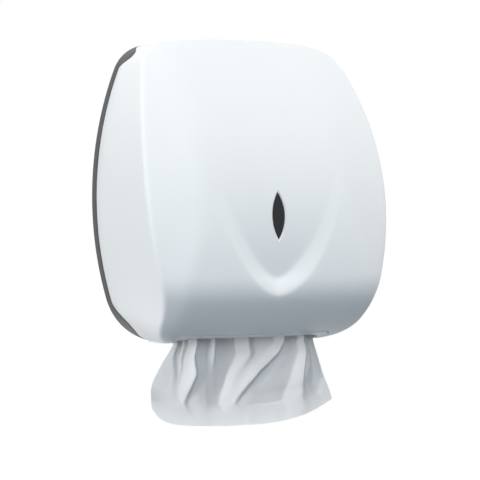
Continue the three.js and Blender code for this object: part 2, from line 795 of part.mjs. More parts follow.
function lockBarrel() {
  const body = upAxis(lock.barrelRadius, [lockLevels.sleeveFoot, top - runningGap]);
  const { depth, slotLength, slotWidth } = lock;
  const slotDepths = [depth - slotWidth / 2, depth + slotWidth / 2];
  const slot = block([-slotLength / 2, slotLength / 2], slotDepths, [top - lock.slotDepth, top + overrun]);
  const pilotLevels = [lockLevels.sleeveFoot - overrun, lockLevels.cam[0] + lock.screwLength];
  const pilot = upAxis(lock.screwRadius + runningGap, pilotLevels, facets.bore);
  return cut(body, slot, pilot);
}

function lockCam() {
  const { camReach, camHalfWidth, toothDepth, toothHeight } = lock;
  const [foot, head] = lockLevels.cam;
  const tip = lock.depth - camReach;
  const hub = upAxis(lock.barrelRadius, lockLevels.cam);
  const finger = block([-camHalfWidth, camHalfWidth], [tip, lock.depth], lockLevels.cam);
  const tooth = block([-camHalfWidth, camHalfWidth], [tip, tip + toothDepth], [foot - toothHeight, head]);
  const bore = upAxis(lock.screwRadius + runningGap, [foot - overrun, head + overrun], facets.bore);
  return cut(join(hub, finger, tooth), bore);
}

function camScrew() {
  const headTop = lockLevels.cam[0] - runningGap;
  const head = upAxis(lock.screwHeadRadius, [headTop - lock.screwHead, headTop], facets.head);
  const shankLevels = [headTop - lock.screwHead / 2, headTop + lock.screwLength];
  const shank = upAxis(lock.screwRadius, shankLevels, facets.bore);
  return join(head, shank);
}

function trayScrew(x) {
  const headDepths = [screwHeadBack, screwHeadBack + screw.head];
  const head = across(screw.headRadius, headDepths, x, apronLevel, facets.head);
  const shank = across(screw.radius, [screwTip, screwHeadBack + screw.head / 2], x, apronLevel, facets.bore);
  return join(head, shank);
}

// Paper tray: a floor with low walls, an opening for the outlet, an apron that is screwed to the plate, and
// the cover's hinge brackets underneath

const packMiddle = pack.back + pack.depth / 2;
const openingSpan = [packMiddle - tray.openingDepth / 2, packMiddle + tray.openingDepth / 2];
const trayBack = plate.thickness + plate.ribHeight + clearance;

function openingOutline(grow) {
  const depths = [openingSpan[0] - grow, openingSpan[1] + grow];
  const half = tray.openingHalfWidth + grow;
  return roundedRectangle([-half, half], depths, tray.openingRadius + grow);
}

// One hinge bracket: two cheeks that hang from the tray's floor and hold the pin.
function hingeBracket() {
  const depths = [hinge.depth - hinge.eyeRadius, hinge.depth + hinge.eyeRadius];
  const cheek = (span) =>
    join(hingeRod(hinge.eyeRadius, span), block(span, depths, [hingeLevel, trayLevel + tray.floor / 2]));
  const through = [spans.inner[0] - overrun, spans.outer[1] + overrun];
  const bore = hingeRod(hinge.pinRadius + runningGap / 2, through);
  return cut(join(cheek(spans.inner), cheek(spans.outer)), bore);
}

function paperTray() {
  const { wall, floor, sideHeight, frontHeight, apronDrop, apronHalfWidth } = tray;
  const floorTop = trayLevel + floor;
  const width = [-trayHalfWidth, trayHalfWidth];
  const depths = [trayBack, trayFront];
  const base = block(width, depths, [trayLevel, floorTop]);
  const side = block([trayHalfWidth - wall, trayHalfWidth], depths, [trayLevel, floorTop + sideHeight]);
  const nose = block(width, [trayFront - wall, trayFront], [trayLevel, floorTop + frontHeight]);
  const apronLevels = [trayLevel - apronDrop, trayLevel + floor / 2];
  const apron = block([-apronHalfWidth, apronHalfWidth], [screwSeat - wall, screwSeat], apronLevels);
  const holes = screwPlaces.map((x) =>
    across(screw.radius + runningGap, [screwSeat - overrun, screwSeat + overrun], x, apronLevel, facets.bore),
  );
  const opening = slab(openingOutline(0), [trayLevel - overrun, floorTop + overrun]);
  const body = join(base, bothSides(side), nose, apron, bothSides(hingeBracket()));
  return cut(body, opening, ...holes);
}

// Outlet: a funnel that drops into the tray's opening, and a skin that closes the cover's mouth round it

const flangeFoot = trayLevel + tray.floor + runningGap;
const flangeSpan = [flangeFoot, flangeFoot + outlet.flange];

// A flattened ring round the throat, at the level that levelOf gives for each of its points.
function ovalRing([halfWidth, halfDepth], levelOf) {
  const straight = halfWidth - halfDepth;
  return upTo(outlet.steps).map((i) => {
    const angle = (2 * Math.PI * (i + 1 / 2)) / outlet.steps;
    const x = halfDepth * Math.cos(angle) + Math.sign(Math.cos(angle)) * straight;
    const depth = packMiddle - halfDepth * Math.sin(angle);
    return at(x, depth, levelOf(x, depth));
  });
}

// The cover's outer surface under the housing: the level at a given x and depth.
function undersideLevel(x, depth) {
  let [low, high] = [bottom, bottom + front.lowerTurnHeight];
  if (frontDepth(x, low) >= depth) return low;
  for (let pass = 0; pass < passes.halving; pass += 1) {
    const mid = (low + high) / 2;
    if (frontDepth(x, mid) < depth) low = mid;
    else high = mid;
  }
  return low;
}

// The funnel's passage, or with its wall as grow its outside, which ends on the skin below.
function funnel(grow) {
  const slack = outlet.wall + clearance;
  const mouthSize = [tray.openingHalfWidth - slack + grow, tray.openingDepth / 2 - slack + grow];
  const throatSize = [outlet.throatHalfWidth + grow, outlet.throatHalfDepth + grow];
  const through = grow > 0 ? 0 : overrun;
  return skin(
    [
      ovalRing(mouthSize, () => flangeSpan[1] + through),
      ovalRing(mouthSize, () => trayLevel),
      ovalRing(throatSize, () => bottom + outlet.throatHeight),
      ovalRing(throatSize, (x, depth) => undersideLevel(x, depth) + outlet.skin / 2 - 2 * through),
    ],
    fanCap,
  );
}

const skinShares = [0, 0.3, 0.6, 0.72, 0.8, 0.86, 0.91, 0.96, 1];

function outletSkin() {
  const reach = mouth.halfWidth + overrun;
  const widthShares = upTo(outlet.skinSteps + 1).map((i) => i / outlet.skinSteps);
  const row = (share, rise) =>
    widthShares.map((across) => {
      const x = lerp(-reach, reach, across);
      const depth = lerp(outlet.backDepth, mouth.lipDepth + overrun, share);
      return at(x, depth, undersideLevel(x, depth) + rise);
    });
  const rings = skinShares.map((share) => [...row(share, 0), ...row(share, outlet.skin).reverse()]);
  const levels = [bottom - overrun, bottom + front.lowerTurnHeight];
  const trimmed = slab(mouthOutline(mouth.seam, mouth.lipSeam), levels);
  return skin(rings, stripCap).intersect(trimmed);
}

function outletInsert() {
  const flange = slab(openingOutline(outlet.flangeMargin), flangeSpan);
  const body = join(flange, funnel(outlet.wall), outletSkin());
  return cut(body, funnel(0));
}

// Paper

// A folded pack: flat top and bottom, the folded edges rounded along its front and back.
function towelPack(index) {
  const floor = flangeSpan[1] + runningGap + index * (packHeight + runningGap);
  const profile = roundedRectangle([pack.back, pack.back + pack.depth], [-packHeight, 0], pack.fold);
  const settings = { depth: pack.width, bevelEnabled: false, curveSegments: facets.fold };
  const length = new THREE.ExtrudeGeometry(profile, settings);
  const stand = new THREE.Matrix4().makeBasis(at(0, 1, 0), at(0, 0, 1), at(1, 0, 0));
  return toSolid(length.applyMatrix4(stand).translate(-pack.width / 2, 0, floor));
}

const sheetGrid = { columns: 40, rows: 13 };
const cornerPower = 5; // how sharply the lower corners turn up
const kickPower = 1.5;

// How far the folds bring the sheet forward: across from -1 to 1, and down from 0 at the throat to 1.
function foldDepth(across, down) {
  const ridges = foldShares.map(({ throat, foot, throatWidth, footWidth, height, fade }) => {
    const away = (across - lerp(throat, foot, down)) / lerp(throatWidth, footWidth, down);
    const left = fade < 1 ? smooth(1 - down / fade) : 1;
    return sheet.foldDepth * height * left * Math.exp(-(away ** 2));
  });
  return Math.max(...ridges);
}

// The sheet that hangs out: gathered into folds by the throat, fanning out and hanging back below it.
function hangingSheet() {
  const { columns, rows } = sheetGrid;
  const [start, lowest] = [flangeSpan[1], bottom - sheet.drop]; // it starts just under the lowest pack
  const surface = (i, j, face) => {
    const [across, level] = [(2 * i) / columns - 1, lerp(start, lowest, j / rows)];
    const below = clamp((bottom - level) / sheet.drop);
    const halfWidth = lerp(sheet.exitWidth, sheet.lowerWidth, Math.sin((below * Math.PI) / 2)) / 2;
    const hem = sheet.hemLean * clamp(1 - (level - lowest) / sheet.hemHeight);
    const hang = hem - sheet.kickBack * below ** kickPower;
    const lift = sheet.cornerRise * Math.abs(across) ** cornerPower * below;
    const depth = sheet.exitDepth + foldDepth(across, below) + hang + (face * sheet.thickness) / 2;
    return at(across * halfWidth, depth, level + lift);
  };
  const rings = upTo(rows + 1).map((j) => {
    const row = (face) => upTo(columns + 1).map((i) => surface(i, j, face));
    return [...row(1), ...row(-1).reverse()];
  });
  return skin(rings, stripCap);
}

// Assembly

const dispenser = new THREE.Group();

function add(name, solid, material) {
  const mesh = new THREE.Mesh(toGeometry(solid), material);
  mesh.name = name;
  dispenser.add(mesh);
}

add('back_plate', backPlate(), greyPlastic);
add('front_cover', frontCover(), whitePlastic);
add('sight_window', sightWindow(), lensPlastic);
add('paper_tray', paperTray(), trayPlastic);
add('outlet_insert', outletInsert(), whitePlastic);
screwPlaces.forEach((x, i) => add(`tray_screw_${i + 1}`, trayScrew(x), steel));
add('hinge_pin_right', hingePin(), steel);
add('hinge_pin_left', mirrorX(hingePin()), steel);
add('lock_sleeve', lockSleeve(), greyPlastic);
add('lock_nut', lockNut(), zinc);
add('lock_barrel', lockBarrel(), zinc);
add('lock_cam', lockCam(), zinc);
add('cam_screw', camScrew(), steel);
['lower', 'middle', 'upper'].forEach((place, i) => add(`towel_pack_${place}`, towelPack(i), paper));
add('towel_sheet', hangingSheet(), paper);

export default dispenser;
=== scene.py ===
"""Interfold paper towel dispenser: the looks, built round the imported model.

Sizes are in millimetres and become metres where a mesh is made. +Z is up, the wall is the plane y = 0,
and the dispenser stands out from it towards -Y, so a depth d lies at y = -d.
"""
import math

import bmesh
import bpy
import numpy as np
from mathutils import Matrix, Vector


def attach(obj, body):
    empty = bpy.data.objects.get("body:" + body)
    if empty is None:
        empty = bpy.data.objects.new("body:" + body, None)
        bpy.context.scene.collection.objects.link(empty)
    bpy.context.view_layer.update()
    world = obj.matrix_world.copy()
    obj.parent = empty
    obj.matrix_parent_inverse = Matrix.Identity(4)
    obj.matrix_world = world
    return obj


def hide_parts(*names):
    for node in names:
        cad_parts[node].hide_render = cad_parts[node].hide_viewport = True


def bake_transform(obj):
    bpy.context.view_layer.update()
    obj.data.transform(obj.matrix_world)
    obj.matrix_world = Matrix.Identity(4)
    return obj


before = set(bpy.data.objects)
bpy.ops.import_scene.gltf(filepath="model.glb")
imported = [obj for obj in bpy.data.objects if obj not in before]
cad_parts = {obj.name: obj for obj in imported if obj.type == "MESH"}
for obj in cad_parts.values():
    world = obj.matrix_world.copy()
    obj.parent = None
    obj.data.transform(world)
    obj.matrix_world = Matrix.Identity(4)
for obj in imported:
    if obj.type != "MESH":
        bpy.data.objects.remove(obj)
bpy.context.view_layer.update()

MM = 0.001

# Driving sizes: most are those of the part's own source, but the scoop is shallower here

HOUSING = {
    "height": 310.0,
    "half_width": 145.5,
    "widest_level": -6.0,
    "side_bow_radius": 360.0,
    "top_bow_radius": 660.0,
    "top_corner_radius": 40.0,
    "wall_bottom_corner_radius": 64.0,
    "front_bottom_corner_radius": 30.0,
    "draft": 13.0,
    "loft_depth": 119.0,
    "wall": 3.0,
}
FRONT = {
    "bow_depth": 118.8,
    "bow_apex_level": -65.0,
    "bow_radius": 300.0,
    "lower_turn_depth": 88.0,
    "lower_turn_height": 70.0,
    "top_round_depth": 8.0,
    "top_round_height": 10.0,
    "crown_rise": 18.7,
    "crown_radius": 1000.0,
    "waist_half_width": 80.0,
    "hip_half_width": 97.0,
    "waist_level": -20.0,
    "hip_level": -95.0,
    "crease_blend": 1.9,  # depth over which the wing facet's crease is eased
    "edge_round": 4.5,  # how far back from the edge its rounding starts
    "joint_lip": 0.5,  # the small chamfer where the cover meets the back plate
}
SCOOP = {
    "level": 60.0,
    "deepest": 9.3,
    "rim": (80.0, 165.0, 62.0, 1.8),  # half width, drop, rise, power
    "floor": (75.0, 145.0, 46.0, 1.42),
    "fade_power": 2.6,
    "ease_share": 0.2,
}
RIM = {"side": 10.0, "ear": 25.0, "top": 4.2, "heel": 9.0, "plate_heel": 3.8}
EAR_SHARES = {"risen": 0.32, "held": 0.38, "fallen": 0.74, "fallen_top": 0.86}
CLEARANCE = 0.4
PLATE = {
    "thickness": 3.0,
    "flange": 2.5,
    "bevel": 2.0,
    "rib_height": 2.4,
    "rib_width": 2.0,
    "rib_spread": 93.5,
    "rib_top": 100.0,
    "rib_foot": -88.0,
    "rib_round": 0.5,
    "boss_radius": 4.5,
    "boss_depth": 8.0,
    "boss_flare": 0.6,
    "boss_round": 0.5,
    "pilot_radius": 1.9,
    "edge_round": 0.6,
    "floor_round": 0.3,
}
KEYHOLE = {"spread": 75.0, "head_radius": 4.8, "slot_radius": 2.4, "slot": 10.0, "levels": (106.0, -62.0)}
SIGHT = {
    "level": -24.7,
    "half_length": 23.5,
    "half_width": 6.9,
    "chamfer": 1.3,
    "sink": 1.1,
    "lens": 1.8,
    "margin": 6.0,
    "slack": 0.25,
    "lug_radius": 4.5,
    "lug_reach": 32.5,
    "post_radius": 1.5,
    "post_root": 1.0,  # how far a post goes into the front
    "pane_sink": 0.1,
    "edge_round": 0.4,
    "flange_start": 2.0,
    "lug_round": 0.3,
    "lug_slack": 0.3,
}
POST_HEAD = {"radius": 2.4, "height": 1.5, "shoulder": 1.2, "brim": 0.7, "neck": 0.15}
POST_SHARES = {"tip": 0.5, "shoulder": 0.8}  # of the post's radius and of its head's
HINGE = {
    "depth": 60.0,
    "height": 16.0,
    "eye_radius": 6.0,
    "bore_radius": 2.8,
    "half_foot": 9.0,
    "sole_height": 7.0,
    "start": 90.4,
    "width": 4.5,
    "bevel": 0.5,
}
LOCK = {
    "depth": 21.0,
    "boss_radius": 11.0,
    "boss_foot": 147.5,
    "pocket_radius": 8.9,
    "bore_radius": 6.8,
    "flange": 1.6,
    "boss_round": 0.6,
    "boss_sink": 0.9,  # from the pocket's floor down to the boss's top, inside the wall
}
STRIKE = {
    "half_width": 9.0,
    "thickness": 3.0,
    "front": 15.7,
    "arm_top": 132.2,
    "lip": 3.0,
    "lip_rise": 4.1,
    "lip_half_width": 4.0,
}
MOUTH = {"half_width": 86.0, "lip_depth": 85.5, "corner_radius": 12.0, "height": 27.0, "past_wall": 8.0}
SCREW = {
    "places": (-68.0, -26.0, 26.0, 68.0),
    "level": -115.0,
    "seat": 10.3,
    "lift": 0.3,  # keeps the head clear of the tray
    "radius": 1.6,
    "length": 8.4,
    "tip": 1.2,
    "neck": 0.6,
    "head_radius": 3.6,
    "ridges": 12,
    "most_turn": 1.5,  # in radians
}
SCREW_SHARES = {"tip": 0.35, "groove": 0.8, "recess": 0.55}
DOME_HEIGHTS = (0.0, 0.7, 1.5, 2.05, 2.2)
DOME_SHARES = (1.0, 1.0, 0.9, 0.6, 0.3)  # of the head's radius, at each height
RECESS = {"half_width": 0.45, "floor": 1.0, "top": 3.0, "bevel": 0.05}
PACK = {
    "half_width": 112.5,
    "back": 6.0,
    "depth": 100.0,
    "height": 38.0,
    "floors": (-97.9, -59.6, -21.3),
    "plies": 26,
}
PLY = {
    "fold_sweep": 1.2,  # in radians, each way
    "short": 0.8,  # how much shorter the lower layer is
    "trim": 0.6,
    "sag": 0.12,
    "sag_turn": 2.6,
    "turn": 0.004,
    "slip": (0.5, 0.9, 0.02),
}
PLY_SHARES = {"half": 0.44, "layer": 0.16, "swell": 1.04}
# In metres: the flat size of the towel that hangs out, and where it starts and ends to follow the pull
SHEET = {
    "exit_width": 159.0,
    "lower_width": 208.5,
    "thickness": 0.35,
    "start_level": -98.2,
    "drop": 81.5,
    "exit_depth": 49.5,
    "fold_depth": 14.0,
    "kick_back": 15.0,
    "kick_power": 1.5,
    "hem_height": 30.0,
    "hem_lean": 7.0,
    "droop": 3.2,
    "lowest_share": 0.05,
    "rise_right": 25.0,
    "rise_left": 7.0,
    "rise_power": 2.5,
    "corner_left": 14.0,
    "corner_tuck": 3.5,
    "corner_power": 10.0,
    "tuck_power": 8,
    "right_trim": 5.0,
    "calm_share": 0.4,  # of the crumple, at the throat
    "ease_across": 1.1,  # in steps of the sheet's grid
    "ease_down": 1.6,
}

# One soft crease across the sheet, as shares of its drop, of its half width and of the fold depth
CREASE_SHARES = {
    "level": 0.75,
    "spread": 0.016,
    "depth": 0.07,
    "start_ease": 0.12,
    "end": 0.5,
    "end_ease": 0.1,
}
# Three sizes of crumple: the share of the fold depth, the fastest turn and the number of waves
CRUMPLE_SHARES = ((0.05, 9.0, 7), (0.02, 26.0, 10), (0.006, 60.0, 14))

TOP = HOUSING["height"] / 2
BOTTOM = -HOUSING["height"] / 2
HINGE_LEVEL = BOTTOM + HINGE["height"]
STEPS = {"crown": 24, "corner": 24, "side": 48, "lower_corner": 30, "floor": 16}
ROWS = {"window": 12, "ramp": 9, "front": 26, "edge": 6, "fine": 400}
SIDE_SHARES = (0.25, 0.5, 0.75, 1.0)
PANE_SHARES = (0.03, 0.25, 0.5, 0.75, 0.92, 1.0)
PANE_BACK_SHARES = (1.0, 0.7, 0.35, 0.03)
FLANGE_SHARES = (0.33, 0.67, 1.0)
CORNER_SHARE = 0.3  # of the flange's edge rounding, at its middle point
RIB_SHARES = (-1, -1 / 3, 1 / 3, 1)
PASSES = {"settling": 60, "halving": 40}
BEVELS = {"tray": 0.45, "insert": 0.12, "metal": 0.3, "nut": 0.4, "bar": 0.4}
SIDES = {"boss": 48, "eye": 64, "tray_boss": 40, "post": 24, "lug": 40, "screw": 32, "spindle": 32}
KEYHOLE_STEPS = {"head": 40, "slot": 16}
SEEDS = {"screws": 11, "plies": 5, "crumple": 7}
SHEET_STEPS = {"across": 270, "down": 130}
PLY_STEPS = {"fold": 7, "across": 7}
SHARP = 35.0  # degrees past which an edge is shaded sharp
SHEET_SHARP = 80.0
ROUNDED = 40.0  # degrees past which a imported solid's edge is rounded
FLAT = 1.0  # degrees within which its facets are merged
MERGED = 1e-6  # metres within which points are merged
NEVER_ZERO = 1e-6
NEVER_REACHED = 1e6
OVERCUT = 5.0  # how far a cutting tool goes past what it cuts


def at(x, depth, z):
    """Points in metres, from widths, depths and levels in millimetres."""
    x, depth, z = np.broadcast_arrays(np.asarray(x, float), np.asarray(depth, float), np.asarray(z, float))
    return np.stack([x, -depth, z], axis=-1) * MM


def lerp(a, b, share):
    return a + (b - a) * share


def clamp(value):
    return np.clip(value, 0.0, 1.0)


def smooth(value):
    eased = clamp(value)
    return eased**2 * (3 - 2 * eased)


# The barrel outline, seen from the front


def fillet_centre(c1, r1, c2, r2):
    """Centre of a fillet inside two circles, on the side of greater x."""
    apart = c2 - c1
    distance = np.hypot(*apart)
    along = (r1**2 - r2**2 + distance**2) / (2 * distance)
    across = math.sqrt(r1**2 - along**2)
    unit = apart / distance
    normal = np.array([-unit[1], unit[0]]) * (np.sign(-unit[1]) or 1)
    return c1 + unit * along + normal * across


def outline(half_width, corner_radius, inset):
    """Points clockwise from the top middle, the zone that each lies in, and its share of that zone."""
    bow, crown_bow = HOUSING["side_bow_radius"], HOUSING["top_bow_radius"]
    corner_bow, widest = HOUSING["top_corner_radius"], HOUSING["widest_level"]
    side = np.array([half_width - bow, widest])
    crown = np.array([0.0, TOP - crown_bow])
    corner = fillet_centre(side, bow - corner_bow, crown, crown_bow - corner_bow)
    low_level = BOTTOM + corner_radius
    low = np.array([side[0] + math.sqrt((bow - corner_radius) ** 2 - (low_level - widest) ** 2), low_level])
    corner_top = math.atan2(*(corner - crown)[::-1])
    corner_side = math.atan2(*(corner - side)[::-1])
    low_side = math.atan2(*(low - side)[::-1])
    arcs = [
        (crown, crown_bow, math.pi / 2, corner_top, "crown"),
        (corner, corner_bow, corner_top, corner_side, "corner"),
        (side, bow, corner_side, low_side, "side"),
        (low, corner_radius, low_side, -math.pi / 2, "lower_corner"),
    ]
    half, zones, shares = [], [], []
    for centre, radius, start, end, zone in arcs:
        for i in range(STEPS[zone]):
            angle = lerp(start, end, i / STEPS[zone])
            reach = radius - inset
            half.append((centre[0] + reach * math.cos(angle), centre[1] + reach * math.sin(angle)))
            zones.append(zone)
            shares.append(i / STEPS[zone])
    for i in range(STEPS["floor"] + 1):
        half.append((low[0] * (1 - i / STEPS["floor"]), BOTTOM + inset))
        zones.append("floor")
        shares.append(i / STEPS["floor"])
    mirrored = [(-x, z) for x, z in half[-2:0:-1]]
    return np.array(half + mirrored), zones + zones[-2:0:-1], shares + shares[-2:0:-1]


def outlines(inset=0.0):
    """The outline at the wall and at the loft's far end."""
    wall = outline(HOUSING["half_width"], HOUSING["wall_bottom_corner_radius"], inset)
    far = outline(HOUSING["half_width"] - HOUSING["draft"], HOUSING["front_bottom_corner_radius"], inset)
    return wall[0], far[0]


OUTER = outlines()
_, ZONES, ZONE_SHARES = outline(HOUSING["half_width"], HOUSING["wall_bottom_corner_radius"], 0.0)
AROUND = len(ZONES)


def on_side(sides, depth):
    """Points of the drafted side wall, all round, at a depth for each."""
    wall, far = sides
    return lerp(wall, far, (np.asarray(depth) / HOUSING["loft_depth"]).reshape(-1, 1))


def rim_depth(heel):
    """Depth of the joint between the back plate and the cover: it swells at each corner into an ear."""
    depths = []
    for zone, share in zip(ZONES, ZONE_SHARES):
        if zone in ("side", "crown", "floor"):
            depths.append({"side": RIM["side"], "crown": RIM["top"], "floor": heel}[zone])
            continue
        up = 1 - share if zone == "corner" else share
        end = RIM["top"] if zone == "corner" else heel
        fallen = EAR_SHARES["fallen_top"] if zone == "corner" else EAR_SHARES["fallen"]
        rise = lerp(RIM["side"], RIM["ear"], smooth(up / EAR_SHARES["risen"]))
        fall = lerp(end, RIM["ear"], smooth((fallen - up) / (fallen - EAR_SHARES["held"])))
        depths.append(min(rise, fall))
    return np.array(depths)


# The front: bowed, crowned across, turned under at the foot, with wing facets and a scooped middle


def superellipse(x, z, size):
    """1 on the curve, less inside it and more outside."""
    half_width, drop, rise, power = size
    up = (z - SCOOP["level"]) / np.where(z < SCOOP["level"], drop, rise)
    return np.abs(x / half_width) ** power + np.abs(up) ** power


def eased(share, ends):
    """A ramp from 0 to 1 whose two ends are rounded."""
    share = clamp(share)
    low = share**2 / (2 * ends * (1 - ends))
    high = 1 - (1 - share) ** 2 / (2 * ends * (1 - ends))
    middle = (share - ends / 2) / (1 - ends)
    return np.where(share < ends, low, np.where(share > 1 - ends, high, middle))


def scoop_depth(x, z):
    """How far the scoop sinks: a ramp between its rim and its floor, fading out towards its level."""
    inside_rim = 1 - superellipse(x, z, SCOOP["rim"])
    outside_floor = superellipse(x, z, SCOOP["floor"]) - 1
    ramp = np.where(outside_floor <= 0, 1.0, inside_rim / np.maximum(inside_rim + outside_floor, NEVER_ZERO))
    ramp = np.where(inside_rim <= 0, 0.0, eased(ramp, SCOOP["ease_share"]))
    _, floor_drop, _, _ = SCOOP["floor"]
    return SCOOP["deepest"] * ramp * clamp((SCOOP["level"] - z) / floor_drop) ** SCOOP["fade_power"]


def crown(x, z):
    """How far the crown stands forward: a shallow arc between two flat wing facets."""
    down = smooth((FRONT["waist_level"] - z) / (FRONT["waist_level"] - FRONT["hip_level"]))
    facet = lerp(FRONT["waist_half_width"], FRONT["hip_half_width"], down)
    edge = HOUSING["half_width"] - HOUSING["draft"]
    middle = FRONT["crown_rise"] - x**2 / (2 * FRONT["crown_radius"])
    at_facet = FRONT["crown_rise"] - facet**2 / (2 * FRONT["crown_radius"])
    wing = at_facet * (edge - np.abs(x)) / (edge - facet)
    blend = FRONT["crease_blend"]
    share = clamp(0.5 + 0.5 * (wing - middle) / blend)
    return lerp(wing, middle, share) - blend * share * (1 - share)


def quarter(share):
    """A quarter circle's drop."""
    return 1 - np.sqrt(1 - clamp(share) ** 2)


def front_depth(x, z):
    """Depth of the cover's outer face."""
    radius = FRONT["bow_radius"]
    bow = radius - np.sqrt(radius**2 - (z - FRONT["bow_apex_level"]) ** 2)
    low = quarter((BOTTOM + FRONT["lower_turn_height"] - z) / FRONT["lower_turn_height"])
    high = quarter((z - TOP + FRONT["top_round_height"]) / FRONT["top_round_height"])
    turned = FRONT["lower_turn_depth"] * low + FRONT["top_round_depth"] * high
    return FRONT["bow_depth"] - bow - turned + crown(x, z) - scoop_depth(x, z)


SPINDLE_RADIUS = (SIGHT["half_length"] ** 2 + SIGHT["half_width"] ** 2) / (2 * SIGHT["half_width"])


def in_spindle(x, z, grow=0.0):
    inside = np.abs(x) + SPINDLE_RADIUS - SIGHT["half_width"]
    return inside**2 + (z - SIGHT["level"]) ** 2 <= (SPINDLE_RADIUS + grow) ** 2


def in_chamfer(x, z):
    return in_spindle(x, z, SIGHT["chamfer"])


def on_scoop_floor(x, z):
    return superellipse(x, z, SCOOP["floor"]) <= 1


def in_scoop(x, z):
    return superellipse(x, z, SCOOP["rim"]) <= 1


def ray_shares(targets, accepts):
    """How far each ray from the window's middle to its target goes before a test fails."""
    near, far = np.zeros(len(targets)), np.ones(len(targets))
    for _ in range(PASSES["halving"]):
        share = (near + far) / 2
        x, z = targets[:, 0] * share, lerp(SIGHT["level"], targets[:, 1], share)
        good = accepts(x, z)
        near, far = np.where(good, share, near), np.where(good, far, share)
    return near


# Meshes


def ring_faces(rings, count, wrap=False):
    """Quads between neighbouring closed rings; with wrap the last ring joins the first."""
    faces = []
    for r in range(rings if wrap else rings - 1):
        near, far = r * count, (r + 1) % rings * count
        faces += [(near + k, near + (k + 1) % count, far + (k + 1) % count, far + k) for k in range(count)]
    return faces


def make_mesh(name, points, faces, sharp=SHARP):
    """An object from points in metres, with its faces turned outwards and its sharp edges marked."""
    mesh = bpy.data.meshes.new(name)
    mesh.from_pydata([tuple(p) for p in np.asarray(points).reshape(-1, 3)], [], faces)
    body = bmesh.new()
    body.from_mesh(mesh)
    bmesh.ops.remove_doubles(body, verts=body.verts, dist=MERGED)
    bmesh.ops.recalc_face_normals(body, faces=body.faces)
    body.to_mesh(mesh)
    body.free()
    return finish_mesh(name, mesh, sharp)


def finish_mesh(name, mesh, sharp=SHARP):
    """An object from a mesh, smooth but for its sharp edges."""
    mesh.shade_smooth()
    mesh.set_sharp_from_angle(angle=math.radians(sharp))
    return linked(name, mesh)


def linked(name, data):
    """An object with this data, in the scene."""
    made = bpy.data.objects.new(name, data)
    bpy.context.scene.collection.objects.link(made)
    return made


def finish_body(name, body):
    """An object from a bmesh, which is used up."""
    mesh = bpy.data.meshes.new(name)
    body.to_mesh(mesh)
    body.free()
    return finish_mesh(name, mesh)


def evaluated_mesh(piece):
    """The plain mesh that its modifiers make of a piece."""
    bpy.context.view_layer.update()
    evaluated = piece.evaluated_get(bpy.context.evaluated_depsgraph_get())
    return bpy.data.meshes.new_from_object(evaluated)


def rings_mesh(name, rings, wrap=False):
    """A solid from closed rings of points, capped at both ends unless it wraps round."""
    count = len(rings[0])
    faces = ring_faces(len(rings), count, wrap)
    if not wrap:
        faces.append(tuple(range(count)))
        faces.append(tuple(range((len(rings) - 1) * count, len(rings) * count)))
    return make_mesh(name, np.concatenate(rings), faces)


def joined(name, pieces):
    """One object in place of several."""
    body = bmesh.new()
    for piece in pieces:
        body.from_mesh(piece.data)
        old = piece.data
        bpy.data.objects.remove(piece)
        bpy.data.meshes.remove(old)
    return finish_body(name, body)


def bar(x_span, depth_span, z_span, bevel=BEVELS["bar"]):
    """A bar with rounded edges."""
    body = bmesh.new()
    sizes = [(span[1] - span[0]) * MM for span in (x_span, depth_span, z_span)]
    middle = at(sum(x_span) / 2, sum(depth_span) / 2, sum(z_span) / 2)
    bmesh.ops.create_cube(body, size=1.0)
    bmesh.ops.scale(body, vec=sizes, verts=body.verts)
    bmesh.ops.bevel(body, geom=body.edges, offset=bevel * MM, segments=2, profile=0.5, affect="EDGES")
    bmesh.ops.translate(body, vec=Vector(middle), verts=body.verts)
    return finish_body("bar", body)


def turned(profile, axis, centre, sides, wrap=False):
    """A turned solid: the profile gives radius and height pairs along X, Y (outwards from the wall) or Z."""
    angles = np.arange(sides) * 2 * math.pi / sides
    cos, sin = np.cos(angles), np.sin(angles)
    x, depth, z = centre
    rings = []
    for radius, height in profile:
        if axis == "Z":
            rings.append(at(x + radius * cos, depth + radius * sin, z + height))
        elif axis == "Y":
            rings.append(at(x + radius * cos, depth + height, z + radius * sin))
        else:
            rings.append(at(x + height, depth + radius * cos, z + radius * sin))
    return rings_mesh("turned", rings, wrap)


def rounded_rectangle(x_span, depth_span, radius, corner_steps=10):
    """Its outline's widths and depths."""
    points = []
    corners = [
        (x_span[1] - radius, depth_span[1] - radius, 0.0),
        (x_span[0] + radius, depth_span[1] - radius, 90.0),
        (x_span[0] + radius, depth_span[0] + radius, 180.0),
        (x_span[1] - radius, depth_span[0] + radius, 270.0),
    ]
    for x, depth, start in corners:
        for i in range(corner_steps + 1):
            angle = math.radians(start + 90.0 * i / corner_steps)
            points.append((x + radius * math.cos(angle), depth + radius * math.sin(angle)))
    return np.array(points)


def cut_away(piece, *tools):
    """The piece less the tools, as a plain mesh."""
    for tool in tools:
        modifier = piece.modifiers.new("Cut", "BOOLEAN")
        modifier.operation = "DIFFERENCE"
        modifier.solver = "EXACT"
        modifier.object = tool
    mesh = evaluated_mesh(piece)
    name = piece.name
    for old in (piece, *tools):
        bpy.data.objects.remove(old)
    mesh.name = name
    return finish_mesh(name, mesh)


